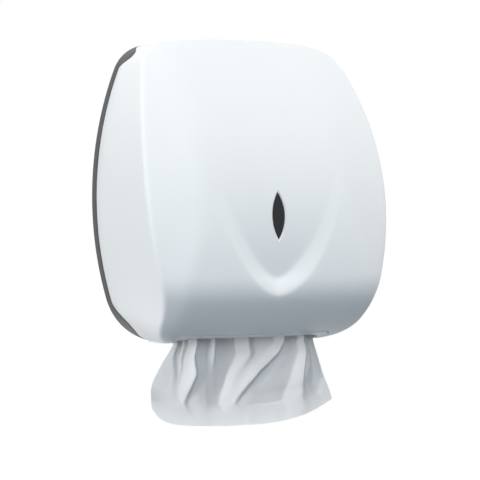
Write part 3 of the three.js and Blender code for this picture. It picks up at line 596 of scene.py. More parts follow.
def dressed(node_name, bevel):
    """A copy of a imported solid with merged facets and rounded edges, which stands in for it."""
    body = bmesh.new()
    body.from_mesh(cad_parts[node_name].data)
    bmesh.ops.remove_doubles(body, verts=body.verts, dist=MERGED)
    bmesh.ops.dissolve_limit(body, angle_limit=math.radians(FLAT), verts=body.verts, edges=body.edges)
    edges = [e for e in body.edges if e.is_manifold and e.calc_face_angle(0.0) > math.radians(ROUNDED)]
    rounding = {"offset": bevel * MM, "segments": 2, "profile": 0.5, "affect": "EDGES", "clamp_overlap": True}
    bmesh.ops.bevel(body, geom=edges, **rounding)
    bmesh.ops.triangulate(body, faces=[f for f in body.faces if len(f.verts) > 4])
    return finish_body(node_name + "_dressed", body)


# Front cover


def meridians():
    """Rows of points over the outside of the cover, from the window's edge to the joint at the wall."""
    depth = np.zeros(AROUND)
    for _ in range(PASSES["settling"]):
        edge = on_side(OUTER, depth)
        depth = (depth + front_depth(edge[:, 0], edge[:, 1])) / 2
    edge = on_side(OUTER, depth)

    def on_ray(shares, sink=0.0):
        x, z = edge[:, 0] * shares, lerp(SIGHT["level"], edge[:, 1], shares)
        return at(x, front_depth(x, z) - sink, z)

    window = ray_shares(edge, in_spindle)
    chamfer = ray_shares(edge, in_chamfer)
    floor = ray_shares(edge, on_scoop_floor)
    lip = ray_shares(edge, in_scoop)
    rows = [on_ray(window, SIGHT["sink"])]
    rows += [on_ray(lerp(chamfer, floor, i / ROWS["window"])) for i in range(ROWS["window"])]
    rows += [on_ray(lerp(floor, lip, i / ROWS["ramp"])) for i in range(ROWS["ramp"])]
    fine = np.stack([on_ray(lerp(lip, 1.0, i / ROWS["fine"])) for i in range(ROWS["fine"] + 1)])
    lengths = np.linalg.norm(np.diff(fine, axis=0), axis=2)
    travelled = np.concatenate([np.zeros((1, AROUND)), np.cumsum(lengths, axis=0)])
    reach = travelled[-1] - FRONT["edge_round"] * MM

    def along(distance):
        """The point at this distance from the lip on each meridian."""
        row = np.empty((AROUND, 3))
        for k in range(AROUND):
            for axis in range(3):
                row[k, axis] = np.interp(distance[k], travelled[:, k], fine[:, k, axis])
        return row

    rows += [along(reach * i / ROWS["front"]) for i in range(ROWS["front"] + 1)]
    corner = at(edge[:, 0], depth, edge[:, 1])
    back = on_side(OUTER, depth - FRONT["edge_round"])
    back = at(back[:, 0], depth - FRONT["edge_round"], back[:, 1])
    start = rows[-1]
    rows += [bezier(start, corner, back, i / ROWS["edge"]) for i in range(1, ROWS["edge"] + 1)]
    return rows, depth


def bezier(start, middle, end, share):
    return (1 - share) ** 2 * start + 2 * share * (1 - share) * middle + share**2 * end


def inward_shift(rows, distance):
    """The rows moved into the wall, square to the surface."""
    grid = np.stack(rows)
    along = np.gradient(grid, axis=0)
    round_about = np.roll(grid, -1, axis=1) - np.roll(grid, 1, axis=1)
    normals = np.cross(along, round_about)
    normals /= np.maximum(np.linalg.norm(normals, axis=2, keepdims=True), NEVER_ZERO**2)
    middle = np.array([0.0, -HINGE["depth"] * MM, 0.0])
    outward = np.sign(np.sum(normals * (grid - middle), axis=2, keepdims=True).mean())
    return grid - outward * normals * distance * MM


def cover_shell():
    """The moulded shell: outer and inner walls in one closed skin, cut for the mouth and for the lock."""
    rows, edge_depth = meridians()
    joint = rim_depth(RIM["heel"])
    start = edge_depth - FRONT["edge_round"]
    lip = FRONT["joint_lip"]
    for share in SIDE_SHARES:
        depth = lerp(start, joint + lip, share)
        side = on_side(OUTER, depth)
        rows.append(at(side[:, 0], depth, side[:, 1]))
    inner = inward_shift(rows, HOUSING["wall"])
    recess = on_side(outlines(HOUSING["wall"]), joint)
    inner[-1] = at(recess[:, 0], joint, recess[:, 1])
    turned_in = on_side(outlines(lip / 2), joint)
    rows.append(at(turned_in[:, 0], joint, turned_in[:, 1]))
    inner[0] = rows[0] + at(0.0, SIGHT["sink"] - HOUSING["wall"], 0.0)
    rings = rows + list(inner[::-1])
    shell = rings_mesh("cover_shell", rings, wrap=True)
    x_span = (-MOUTH["half_width"], MOUTH["half_width"])
    mouth = rounded_rectangle(x_span, (-MOUTH["past_wall"], MOUTH["lip_depth"]), MOUTH["corner_radius"])
    levels = (BOTTOM - OVERCUT, BOTTOM + MOUTH["height"])
    opening = rings_mesh("mouth", [at(mouth[:, 0], mouth[:, 1], level) for level in levels])
    pocket_foot = TOP - LOCK["flange"]
    profile = [
        (LOCK["bore_radius"], LOCK["boss_foot"] - OVERCUT),
        (LOCK["bore_radius"], pocket_foot),
        (LOCK["pocket_radius"], pocket_foot),
        (LOCK["pocket_radius"], TOP + OVERCUT),
    ]
    pocket = turned(profile, "Z", (0.0, LOCK["depth"], 0.0), SIDES["boss"])
    return cut_away(shell, opening, pocket)


def hinge_lugs():
    """The two eyes on the hinge pins, each on a foot that widens to the floor of the cover."""
    sole = HINGE["sole_height"] - HINGE["height"]
    eye, half_foot = HINGE["eye_radius"], HINGE["half_foot"]
    angles = np.arange(SIDES["eye"]) * 2 * math.pi / SIDES["eye"]
    reach = np.full(SIDES["eye"], eye)
    for i, angle in enumerate(angles):
        across, up = math.cos(angle), math.sin(angle)
        if up < 0:
            widen = (half_foot - eye) / -sole
            to_flank = eye / max(abs(across) - widen * abs(up), NEVER_ZERO)
            reach[i] = max(eye, min(to_flank if to_flank > 0 else NEVER_REACHED, sole / up))
    spans = (HINGE["start"], HINGE["start"] + HINGE["width"])
    bevel = HINGE["bevel"]
    rings = []
    for x, shrink in ((spans[0], bevel), (spans[0] + bevel, 0.0), (spans[1] - bevel, 0.0), (spans[1], bevel)):
        radius = reach - shrink
        rings.append((x, HINGE["depth"] + radius * np.cos(angles), HINGE_LEVEL + radius * np.sin(angles)))
    for x in (spans[1], spans[0]):
        bore = HINGE["bore_radius"]
        rings.append((x, HINGE["depth"] + bore * np.cos(angles), HINGE_LEVEL + bore * np.sin(angles)))
    right = rings_mesh("lug", [at(*ring) for ring in rings], wrap=True)
    left = rings_mesh("lug", [at(-x, depth, z) for x, depth, z in rings], wrap=True)
    return [right, left]


def back_of_front(x, z):
    """Depth of the cover's inner face."""
    probe = 0.3
    across = (front_depth(x + probe, z) - front_depth(x - probe, z)) / (2 * probe)
    upward = (front_depth(x, z + probe) - front_depth(x, z - probe)) / (2 * probe)
    return front_depth(x, z) - HOUSING["wall"] * np.sqrt(1 + across**2 + upward**2)


def lug_face(level):
    """Depth of the face of a window lug, clear of the cover's inner face all round it."""
    reach = SIGHT["lug_radius"]
    return min(float(back_of_front(0.0, level + way * reach)) for way in (-1, 1)) - CLEARANCE


def cover_fittings():
    """What is moulded inside the cover: the lock's boss, the window's two posts and the hinge lugs."""
    boss_top = TOP - LOCK["flange"] - LOCK["boss_sink"]
    boss_profile = [
        (LOCK["bore_radius"], LOCK["boss_foot"]),
        (LOCK["boss_radius"] - LOCK["boss_round"], LOCK["boss_foot"]),
        (LOCK["boss_radius"], LOCK["boss_foot"] + LOCK["boss_round"]),
        (LOCK["boss_radius"], boss_top),
        (LOCK["bore_radius"], boss_top),
    ]
    boss = turned(boss_profile, "Z", (0.0, LOCK["depth"], 0.0), SIDES["boss"], wrap=True)
    posts = []
    for way in (-1, 1):
        level = SIGHT["level"] + way * SIGHT["lug_reach"]
        foot = lug_face(level) - SIGHT["lens"]
        root = float(back_of_front(0.0, level)) + SIGHT["post_root"]
        radius, head = SIGHT["post_radius"], POST_HEAD["radius"]
        profile = [
            (radius * POST_SHARES["tip"], foot - POST_HEAD["height"]),
            (head * POST_SHARES["shoulder"], foot - POST_HEAD["shoulder"]),
            (head, foot - POST_HEAD["brim"]),
            (head, foot - POST_HEAD["neck"]),
            (radius, foot),
            (radius, root),
        ]
        posts.append(turned(profile, "Y", (0.0, 0.0, level), SIDES["post"]))
    return joined("cover_fittings", [boss, *posts, *hinge_lugs()])


# Sight window


def spindle_ring(grow, depth_of, share=1.0):
    """Points of the spindle outline, grown and then shrunk by a share, at the depths that depth_of gives."""
    radius = SPINDLE_RADIUS + grow
    centre = SPINDLE_RADIUS - SIGHT["half_width"]
    sweep = math.acos(centre / radius)
    x, z = [], []
    for way in (1, -1):
        for i in range(SIDES["spindle"]):
            angle = lerp(-sweep, sweep, i / SIDES["spindle"])
            x.append(way * (radius * math.cos(angle) - centre) * share)
            z.append(SIGHT["level"] + way * radius * math.sin(angle) * share)
    x, z = np.array(x), np.array(z)
    return at(x, depth_of(x, z), z)


def pane_face(x, z):
    return front_depth(x, z) - SIGHT["sink"] - SIGHT["pane_sink"]


def pane_edge(x, z):
    return pane_face(x, z) - SIGHT["edge_round"]


def flange_face(x, z):
    return back_of_front(x, z) - CLEARANCE


def flange_edge(x, z):
    return flange_face(x, z) - SIGHT["edge_round"]


def flange_back(x, z):
    return flange_face(x, z) - SIGHT["lens"]


def sight_lens():
    """A smoked lens: its pane fills the opening, a flange lies behind the front and a lug takes each post."""
    pane, margin, edge = -SIGHT["slack"], SIGHT["margin"], SIGHT["edge_round"]
    rings = [spindle_ring(pane - edge, pane_face, share) for share in PANE_SHARES]
    rings.append(spindle_ring(pane, pane_edge))
    rings += [spindle_ring(grow, flange_face) for grow in (pane, SIGHT["flange_start"], margin - edge)]
    rings.append(spindle_ring(margin, flange_edge))
    rings.append(spindle_ring(margin, flange_back))
    rings += [spindle_ring(pane, flange_back, share) for share in PANE_BACK_SHARES]
    plate = rings_mesh("plate", rings)
    lugs = []
    for way in (-1, 1):
        level = SIGHT["level"] + way * SIGHT["lug_reach"]
        face = lug_face(level)
        hole = SIGHT["post_radius"] + SIGHT["lug_slack"]
        profile = [
            (hole, face),
            (SIGHT["lug_radius"] - SIGHT["lug_round"], face),
            (SIGHT["lug_radius"], face - SIGHT["lug_round"]),
            (SIGHT["lug_radius"], face - SIGHT["lens"]),
            (hole, face - SIGHT["lens"]),
        ]
        lugs.append(turned(profile, "Y", (0.0, 0.0, level), SIDES["lug"], wrap=True))
    return joined("sight_lens", [plate, *lugs])


# Back plate


def back_pan():
    """The pan with its edge flange, which swells into the ears, and its keyholes."""
    flange_top = rim_depth(RIM["plate_heel"] + CLEARANCE) - CLEARANCE
    inner_top = np.maximum(PLATE["thickness"] + CLEARANCE, flange_top - PLATE["bevel"])
    edge, flange, floor = PLATE["edge_round"], PLATE["flange"], PLATE["thickness"]
    corner = edge * CORNER_SHARE

    def ring(inset, depth):
        depth = np.broadcast_to(np.asarray(depth, float), (AROUND,))
        points = on_side(outlines(inset), depth)
        return at(points[:, 0], depth, points[:, 1])

    rings = [ring(edge, 0.0), ring(0.0, edge)]
    rings += [ring(0.0, lerp(edge, flange_top - edge, share)) for share in FLANGE_SHARES]
    rings += [ring(corner, flange_top - corner), ring(edge, flange_top)]
    rings += [ring(flange - edge, np.minimum(flange_top, inner_top + edge)), ring(flange, inner_top)]
    rings += [ring(flange, floor + PLATE["floor_round"]), ring(flange + PLATE["floor_round"], floor)]
    pan = rings_mesh("back_pan", rings)
    tools = []
    through = 4 * PLATE["thickness"]
    for x in (-KEYHOLE["spread"], KEYHOLE["spread"]):
        for level in KEYHOLE["levels"]:
            tools.append(keyhole_tool(x, level, through))
    return cut_away(pan, joined("keyholes", tools))


def keyhole_tool(x, level, through):
    """A prism of a keyhole's outline: a round head with a slot above it."""
    head, half_slot = KEYHOLE["head_radius"], KEYHOLE["slot_radius"]
    turn = math.asin(half_slot / head)
    points = []
    for i in range(KEYHOLE_STEPS["head"] + 1):
        angle = math.pi / 2 + turn + (2 * math.pi - 2 * turn) * i / KEYHOLE_STEPS["head"]
        points.append((x + head * math.cos(angle), level + head * math.sin(angle)))
    top = level + KEYHOLE["slot"]
    for i in range(KEYHOLE_STEPS["slot"] + 1):
        angle = math.pi * i / KEYHOLE_STEPS["slot"]
        points.append((x + half_slot * math.cos(angle), top + half_slot * math.sin(angle)))
    points = np.array(points)
    return rings_mesh("keyhole", [at(points[:, 0], depth, points[:, 1]) for depth in (-through, through)])


def back_fittings():
    """What stands on the back plate: four ribs, the tray's screw bosses and the hook that the lock grips."""
    root = PLATE["thickness"] / 2
    parts = []
    for share in RIB_SHARES:
        x = share * PLATE["rib_spread"]
        half = PLATE["rib_width"] / 2
        depths = (root, PLATE["thickness"] + PLATE["rib_height"])
        levels = (PLATE["rib_foot"], PLATE["rib_top"])
        parts.append(bar((x - half, x + half), depths, levels, PLATE["rib_round"]))
    bore, radius, face = PLATE["pilot_radius"], PLATE["boss_radius"], PLATE["boss_depth"]
    profile = [
        (bore, root),
        (radius + PLATE["boss_flare"], root),
        (radius, face - PLATE["boss_round"]),
        (radius - PLATE["boss_round"], face),
        (bore, face),
    ]
    for x in SCREW["places"]:
        parts.append(turned(profile, "Y", (x, 0.0, SCREW["level"]), SIDES["tray_boss"], wrap=True))
    top_level, lip, front = STRIKE["arm_top"], STRIKE["lip"], STRIKE["front"]
    half, thickness = STRIKE["half_width"], STRIKE["thickness"]
    parts.append(bar((-half, half), (root, front), (top_level - thickness, top_level)))
    lip_half = STRIKE["lip_half_width"]
    lip_levels = (top_level - thickness / 2, top_level + STRIKE["lip_rise"])
    parts.append(bar((-lip_half, lip_half), (front - lip, front), lip_levels))
    web = [
        (root, top_level - thickness / 2),
        (front - lip, top_level - thickness / 2),
        (front - lip, top_level - thickness),
        (root, top_level - front),
    ]
    sides = [at(x, [d for d, _ in web], [z for _, z in web]) for x in (-thickness / 2, thickness / 2)]
    parts.append(rings_mesh("web", sides))
    return joined("back_fittings", parts)


# Geometry Nodes: screws and folded towels


def node_tree(name, inputs):
    """An empty Geometry Nodes tree with the given inputs, and its input and output nodes."""
    tree = bpy.data.node_groups.new(name, "GeometryNodeTree")
    tree.interface.new_socket("Geometry", in_out="INPUT", socket_type="NodeSocketGeometry")
    for label, kind in inputs:
        tree.interface.new_socket(label, in_out="INPUT", socket_type=kind)
    tree.interface.new_socket("Geometry", in_out="OUTPUT", socket_type="NodeSocketGeometry")
    return tree, tree.nodes.new("NodeGroupInput"), tree.nodes.new("NodeGroupOutput")


def run_tree(name, points, tree, values, pattern):
    """The plain mesh that a tree makes of a pattern on some points."""
    mesh = bpy.data.meshes.new(name + "_points")
    mesh.from_pydata([tuple(p) for p in points], [], [])
    holder = linked(name + "_points", mesh)
    modifier = holder.modifiers.new("Nodes", "NODES")
    modifier.node_group = tree
    sockets = {item.name: item.identifier for item in tree.interface.items_tree if item.in_out == "INPUT"}
    for label, value in values.items():
        modifier[sockets[label]] = value
    result = evaluated_mesh(holder)
    for old in (holder, pattern):
        bpy.data.objects.remove(old)
    result.name = name
    return finish_mesh(name, result)


def random_vector(tree, low, high, seed):
    node = tree.nodes.new("FunctionNodeRandomValue")
    node.data_type = "FLOAT_VECTOR"
    node.inputs["Min"].default_value = low
    node.inputs["Max"].default_value = high
    node.inputs["Seed"].default_value = seed
    return node.outputs["Value"]


def scatter_tree(name, turn_low, turn_high, slip, seed):
    """One copy of the piece on each point, each turned and slipped a little, and finished in one material."""
    tree, source, sink = node_tree(
        name, [("Piece", "NodeSocketObject"), ("Finish", "NodeSocketMaterial"), ("Slip", "NodeSocketFloat")]
    )
    link = tree.links.new
    info = tree.nodes.new("GeometryNodeObjectInfo")
    info.inputs["As Instance"].default_value = True
    link(source.outputs["Piece"], info.inputs["Object"])
    shift = tree.nodes.new("ShaderNodeVectorMath")
    shift.operation = "SCALE"
    link(random_vector(tree, [-v for v in slip], slip, seed), shift.inputs[0])
    link(source.outputs["Slip"], shift.inputs["Scale"])
    place = tree.nodes.new("GeometryNodeSetPosition")
    link(source.outputs["Geometry"], place.inputs["Geometry"])
    link(shift.outputs["Vector"], place.inputs["Offset"])
    on_points = tree.nodes.new("GeometryNodeInstanceOnPoints")
    link(place.outputs["Geometry"], on_points.inputs["Points"])
    link(info.outputs["Geometry"], on_points.inputs["Instance"])
    link(random_vector(tree, turn_low, turn_high, seed + 1), on_points.inputs["Rotation"])
    real = tree.nodes.new("GeometryNodeRealizeInstances")
    link(on_points.outputs["Instances"], real.inputs["Geometry"])
    finish = tree.nodes.new("GeometryNodeSetMaterial")
    link(real.outputs["Geometry"], finish.inputs["Geometry"])
    link(source.outputs["Finish"], finish.inputs["Material"])
    link(finish.outputs["Geometry"], sink.inputs["Geometry"])
    return tree


def screw_pattern():
    """One pan-head screw with a cross recess, its seat at the origin and its shank towards the wall."""
    radius, shank = SCREW["head_radius"], SCREW["radius"]
    groove = shank * SCREW_SHARES["groove"]
    tip = SCREW["tip"] - SCREW["length"]
    profile = [(shank * SCREW_SHARES["tip"], -SCREW["length"]), (groove, tip)]
    for i in range(SCREW["ridges"]):
        profile.append((shank if i % 2 else groove, lerp(tip, -SCREW["neck"], i / SCREW["ridges"])))
    profile.append((shank, 0.0))
    profile += [(radius * share, height) for share, height in zip(DOME_SHARES, DOME_HEIGHTS)]
    body = turned(profile, "Y", (0.0, 0.0, 0.0), SIDES["screw"])
    reach, half = radius * SCREW_SHARES["recess"], RECESS["half_width"]
    depths = (RECESS["floor"], RECESS["top"])
    arms = [
        bar((-reach, reach), depths, (-half, half), RECESS["bevel"]),
        bar((-half, half), depths, (-reach, reach), RECESS["bevel"]),
    ]
    return cut_away(body, *arms)


def tray_screws(finish):
    """The tray's four screws, each turned by chance."""
    pattern = screw_pattern()
    still = (0.0, 0.0, 0.0)
    tree = scatter_tree("screw_row", still, (0.0, SCREW["most_turn"], 0.0), still, SEEDS["screws"])
    points = [at(x, SCREW["seat"] + SCREW["lift"], SCREW["level"]) for x in SCREW["places"]]
    values = {"Piece": pattern, "Finish": finish, "Slip": 1.0}
    return run_tree("tray_screws", points, tree, values, pattern)


def folded_ply(pitch):
    """One interfolded towel: two layers, joined in a round fold at the front."""
    half, layer = pitch * PLY_SHARES["half"], pitch * PLY_SHARES["layer"]
    swollen = half * PLY_SHARES["swell"]
    back, front = -PACK["depth"] / 2, PACK["depth"] / 2
    bend, short_back = front - half, back + PLY["short"]
    fold = np.linspace(PLY["fold_sweep"], -PLY["fold_sweep"], PLY_STEPS["fold"])
    outer = [(back, half), (0.0, swollen), (bend, half)]
    outer += [(bend + half * math.cos(angle), half * math.sin(angle)) for angle in fold]
    outer += [(bend, -half), (0.0, -swollen), (short_back, -half)]
    inner = [(short_back, layer - half), (0.0, -layer), (bend, -layer), (bend, layer)]
    inner += [(0.0, layer), (back, half - layer)]
    profile = np.array(outer + inner)
    rings = []
    for share in np.linspace(-1, 1, PLY_STEPS["across"]):
        sag = PLY["sag"] * math.cos(share * PLY["sag_turn"])
        rings.append(at(share * (PACK["half_width"] - PLY["trim"]), profile[:, 0], profile[:, 1] + sag))
    return rings_mesh("ply", rings)


def towel_stack(finish):
    """The plies of all the packs, each slipped and turned by chance."""
    pitch = PACK["height"] / PACK["plies"]
    pattern = folded_ply(pitch)
    slip = tuple(v * MM for v in PLY["slip"])
    tree = scatter_tree("ply_stack", (0.0, 0.0, -PLY["turn"]), (0.0, 0.0, PLY["turn"]), slip, SEEDS["plies"])
    middle = PACK["back"] + PACK["depth"] / 2
    points = []
    for floor in PACK["floors"]:
        points += [at(0.0, middle, floor + pitch * (i + 0.5)) for i in range(PACK["plies"])]
    values = {"Piece": pattern, "Finish": finish, "Slip": 1.0}
    return run_tree("towel_stack", points, tree, values, pattern)


# Hanging towel

# How far down the sheet each level of the fold lines lies, from the throat to the hem.
LEVEL_SHARES = (0.0, 0.147, 0.356, 0.548, 0.724, 0.82, 1.0)
# The fold lines from left to right. At each level a line has its place across, from -1 to 1, and its height,
# about 0 in the hollows and about 1 on the ridges.
FOLD_SHARES = {
    "left edge": (
        (-1.0, -1.0, -1.0, -1.0, -1.0, -1.0, -1.0),
        (0.3, 0.3, 0.25, 0.25, 0.4, 0.6, 0.65),
    ),
    "left panel": (
        (-0.95, -0.93, -0.84, -0.81, -0.78, -0.74, -0.7),
        (0.45, 0.45, 0.5, 0.55, 0.68, 0.73, 0.75),
    ),
    "left pocket": (
        (-0.885, -0.865, -0.79, -0.77, -0.75, -0.7, -0.65),
        (-0.1, -0.05, 0.36, 0.55, 0.7, 0.75, 0.77),
    ),
    "pocket lip": (
        (-0.85, -0.83, -0.765, -0.755, -0.73, -0.67, -0.6),
        (0.4, 0.42, 0.4, 0.56, 0.72, 0.76, 0.78),
    ),
    "lip foot": (
        (-0.8, -0.78, -0.735, -0.745, -0.71, -0.65, -0.57),
        (0.15, 0.2, 0.42, 0.58, 0.73, 0.77, 0.78),
    ),
    "left ridge": (
        (-0.7, -0.69, -0.6, -0.63, -0.67, -0.61, -0.5),
        (0.8, 0.9, 1.08, 0.98, 0.85, 0.8, 0.8),
    ),
    "ridge foot": (
        (-0.67, -0.655, -0.57, -0.59, -0.62, -0.56, -0.45),
        (0.45, 0.5, 0.62, 0.66, 0.7, 0.75, 0.78),
    ),
    "hollow": (
        (-0.55, -0.51, -0.47, -0.5, -0.5, -0.46, -0.38),
        (0.3, 0.34, 0.44, 0.6, 0.78, 0.79, 0.79),
    ),
    "small dip": (
        (-0.49, -0.475, -0.42, -0.44, -0.42, -0.4, -0.32),
        (0.12, 0.16, 0.38, 0.55, 0.74, 0.78, 0.79),
    ),
    "small ridge": (
        (-0.42, -0.4, -0.377, -0.4, -0.37, -0.35, -0.26),
        (0.42, 0.46, 0.36, 0.46, 0.64, 0.75, 0.79),
    ),
    "ridge back": (
        (-0.38, -0.36, -0.33, -0.33, -0.325, -0.3, -0.2),
        (0.12, 0.2, 0.3, 0.34, 0.54, 0.72, 0.78),
    ),
    "deep valley": (
        (-0.1, -0.067, -0.158, -0.2, -0.266, -0.22, -0.1),
        (-0.15, -0.15, -0.1, 0.02, 0.42, 0.7, 0.78),
    ),
    "second ridge": (
        (0.05, 0.08, -0.07, -0.14, -0.2, -0.16, -0.05),
        (0.5, 0.48, 0.36, 0.38, 0.64, 0.74, 0.78),
    ),
    "wedge": (
        (0.14, 0.156, 0.0, -0.1, -0.17, -0.12, 0.0),
        (0.25, 0.26, 0.42, 0.56, 0.72, 0.76, 0.78),
    ),
    "main flank": (
        (0.42, 0.3, 0.05, -0.06, -0.15, -0.08, 0.05),
        (0.34, 0.34, 0.54, 0.7, 0.77, 0.77, 0.78),
    ),
    "main ridge": (
        (0.54, 0.434, 0.17, 0.0, -0.118, -0.02, 0.12),
        (0.88, 0.95, 1.08, 1.02, 0.88, 0.79, 0.78),
    ),
    "main foot": (
        (0.58, 0.49, 0.215, 0.04, -0.07, 0.05, 0.2),
        (0.08, 0.12, 0.4, 0.62, 0.76, 0.77, 0.78),
    ),
    "right flat": (
        (0.66, 0.62, 0.365, 0.267, 0.104, 0.2, 0.4),
        (0.36, 0.38, 0.44, 0.62, 0.72, 0.75, 0.78),
    ),
    "cone flank": (
        (0.77, 0.78, 0.67, 0.56, 0.46, 0.48, 0.5),
        (0.22, 0.26, 0.3, 0.5, 0.56, 0.72, 0.77),
    ),
    "cone": (
        (0.82, 0.833, 0.766, 0.711, 0.68, 0.68, 0.7),
        (1.0, 1.05, 1.06, 1.06, 1.0, 0.88, 0.8),
    ),
    "cone back": (
        (0.85, 0.86, 0.795, 0.75, 0.76, 0.78, 0.8),
        (0.1, 0.15, 0.32, 0.66, 0.68, 0.76, 0.77),
    ),
    "thin crease": (
        (0.885, 0.895, 0.865, 0.79, 0.8, 0.82, 0.85),
        (0.6, 0.66, 0.56, 0.6, 0.6, 0.72, 0.75),
    ),
    "crease back": (
        (0.91, 0.915, 0.885, 0.81, 0.82, 0.84, 0.87),
        (0.15, 0.2, 0.3, 0.44, 0.54, 0.7, 0.74),
    ),
    "right valley": (
        (0.945, 0.953, 0.938, 0.9, 0.85, 0.87, 0.9),
        (-0.05, 0.0, 0.05, 0.18, 0.44, 0.66, 0.72),
    ),
    "right edge": (
        (1.0, 1.0, 1.0, 1.0, 1.0, 1.0, 1.0),
        (0.35, 0.38, 0.42, 0.45, 0.6, 0.66, 0.7),
    ),
}


def softened(field, spread, axis):
    """The field blurred along one axis, by a spread in grid steps."""
    reach = math.ceil(3 * spread)
    steps = np.arange(-reach, reach + 1)
    weights = np.exp(-(steps**2) / (2 * spread**2))
    pads = [(0, 0), (0, 0)]
    pads[axis] = (reach, reach)
    padded = np.pad(field, pads, mode="edge")
    return np.apply_along_axis(np.convolve, axis, padded, weights / weights.sum(), "valid")


def fold_height(across, down):
    """How far the folds bring the sheet forward, as a share of the fold depth: facets, eased a little."""
    places = np.array([line[0] for line in FOLD_SHARES.values()])
    heights = np.array([line[1] for line in FOLD_SHARES.values()])
    folds = np.empty_like(across)
    for row in range(len(across)):
        share = down[row, 0]
        place = [np.interp(share, LEVEL_SHARES, line) for line in places]
        height = [np.interp(share, LEVEL_SHARES, line) for line in heights]
        folds[row] = np.interp(across[row], place, height)
    return softened(softened(folds, SHEET["ease_across"], 1), SHEET["ease_down"], 0)


def crumple(across, down):
    """Soft irregular waves in the paper, as a share of the fold depth."""
    rng = np.random.default_rng(SEEDS["crumple"])
    wave = np.zeros_like(across)
    for strength, fastest, count in CRUMPLE_SHARES:
        for _ in range(count):
            kx = rng.uniform(-fastest, fastest)
            kz = rng.uniform(-fastest, fastest) / 2
            phase = rng.uniform(0, 2 * math.pi)
            wave += strength * np.sin(kx * across + kz * down + phase) / math.sqrt(count)
    return wave


def hem_lift(across):
    """How far the hem rises from its lowest point: more to the right, with a rounder corner on the left."""
    aside = across - SHEET["lowest_share"]
    right = SHEET["rise_right"] * clamp(aside) ** SHEET["rise_power"]
    left = SHEET["rise_left"] * clamp(-aside) ** SHEET["rise_power"]
    corner = SHEET["corner_left"] * clamp(-across) ** SHEET["corner_power"]
    return right + left + corner


def cross_crease(across, down):
    """The share of a soft crease that runs across the sheet between two places."""
    at_level = np.exp(-(((down - CREASE_SHARES["level"]) / CREASE_SHARES["spread"]) ** 2))
    started = smooth(across / CREASE_SHARES["start_ease"])
    not_ended = smooth((CREASE_SHARES["end"] - across) / CREASE_SHARES["end_ease"])
    return CREASE_SHARES["depth"] * at_level * started * not_ended


def hanging_towel():
    """The sheet from the throat to the hem: a grid that folds, leans and widens, skinned on both sides."""
    columns, rows = SHEET_STEPS["across"], SHEET_STEPS["down"]
    lowest = BOTTOM - SHEET["drop"]
    levels = np.linspace(SHEET["start_level"], lowest, rows + 1)
    across, level = np.meshgrid(np.linspace(-1, 1, columns + 1), levels)
    below = clamp((BOTTOM - level) / SHEET["drop"])
    half_width = lerp(SHEET["exit_width"], SHEET["lower_width"], np.sin(below * math.pi / 2)) / 2
    hem_share = clamp(1 - (level - lowest) / SHEET["hem_height"])
    hang = SHEET["hem_lean"] * hem_share - SHEET["kick_back"] * below ** SHEET["kick_power"]
    lift = hem_lift(across) * below - SHEET["droop"] * below
    crumpled = crumple(across, below) * lerp(SHEET["calm_share"], 1.0, below)
    folds = fold_height(across, below) + crumpled - cross_crease(across, below)
    depth = SHEET["exit_depth"] + SHEET["fold_depth"] * folds + hang
    tuck = SHEET["corner_tuck"] * clamp(-across) ** SHEET["corner_power"] * below ** SHEET["tuck_power"]
    trim = SHEET["right_trim"] * clamp(across) * 4 * below * (1 - below)
    surface = at(across * half_width + tuck - trim, depth, level + lift)
    normals = np.cross(np.gradient(surface, axis=1), np.gradient(surface, axis=0))
    normals /= np.linalg.norm(normals, axis=2, keepdims=True)
    half = SHEET["thickness"] / 2 * MM
    faces_of = [surface + normals * half, surface - normals * half]
    rings = [np.concatenate([front_row, back_row[::-1]]) for front_row, back_row in zip(*faces_of)]
    count = 2 * (columns + 1)
    faces = ring_faces(rows + 1, count)
    for first in (0, rows * count):
        last = first + count - 1
        faces += [(first + k, first + k + 1, last - k - 1, last - k) for k in range(columns)]
    return make_mesh("hanging_towel", np.concatenate(rings), faces, SHEET_SHARP)


# Shader node groups

# A noise is its scale per metre, its detail and its roughness.
# A range is its low and high end, and then what each of them becomes.
MOULDED = {
    "mottle": (9.0, 1.0, 0.5),
    "mottle_range": (0.2, 0.8, 0.985, 1.01),
    "facing_up": (0.55, 1.0, 0.0, 1.0),
    "speckle": (900.0, 2.0, 0.7),
    "speckle_range": (0.55, 0.75, 0.0, 1.0),
    "uneven": (16.0, 2.0, 0.5),
    "uneven_range": (0.2, 0.8, -0.03, 0.03),
    "dust_gloss": 0.4,
    "grain": (2600.0, 2.0, 0.6),
    "grain_share": 0.35,
    "ripple": (90.0, 2.0, 0.4),
}
TISSUE = {
    "cloud": (120.0, 6.0, 0.65),
    "cloud_range": (0.25, 0.75, 0.0, 1.0),
    "strand_scales": ((2200.0, 500.0, 260.0), (420.0, 500.0, 2600.0)),
    "strand": (1.0, 3.0, 0.6),
    "crepe": (1500.0, 2.0, 0.5),
    "tone_range": (0.0, 1.0, 1.0, 0.9),
    "rough_range": (0.0, 1.0, 0.88, 0.98),
}
TISSUE_SHARES = {"cloud_tone": 0.6, "cloud_height": 1.6, "fibre_height": 1.4}
MIX_SOCKETS = (0, 6, 7, 2)  # of a colour mix: factor, first and second colour, and result
PLATED = {
    "line_scale": (3000.0, 3000.0, 250.0),
    "line": (1.0, 3.0, 0.6),
    "line_range": (0.0, 1.0, -0.08, 0.1),
    "spot": (420.0, 4.0, 0.6),
    "spot_range": (0.5, 0.72, 0.0, 1.0),
    "dull_gloss": 0.3,
}


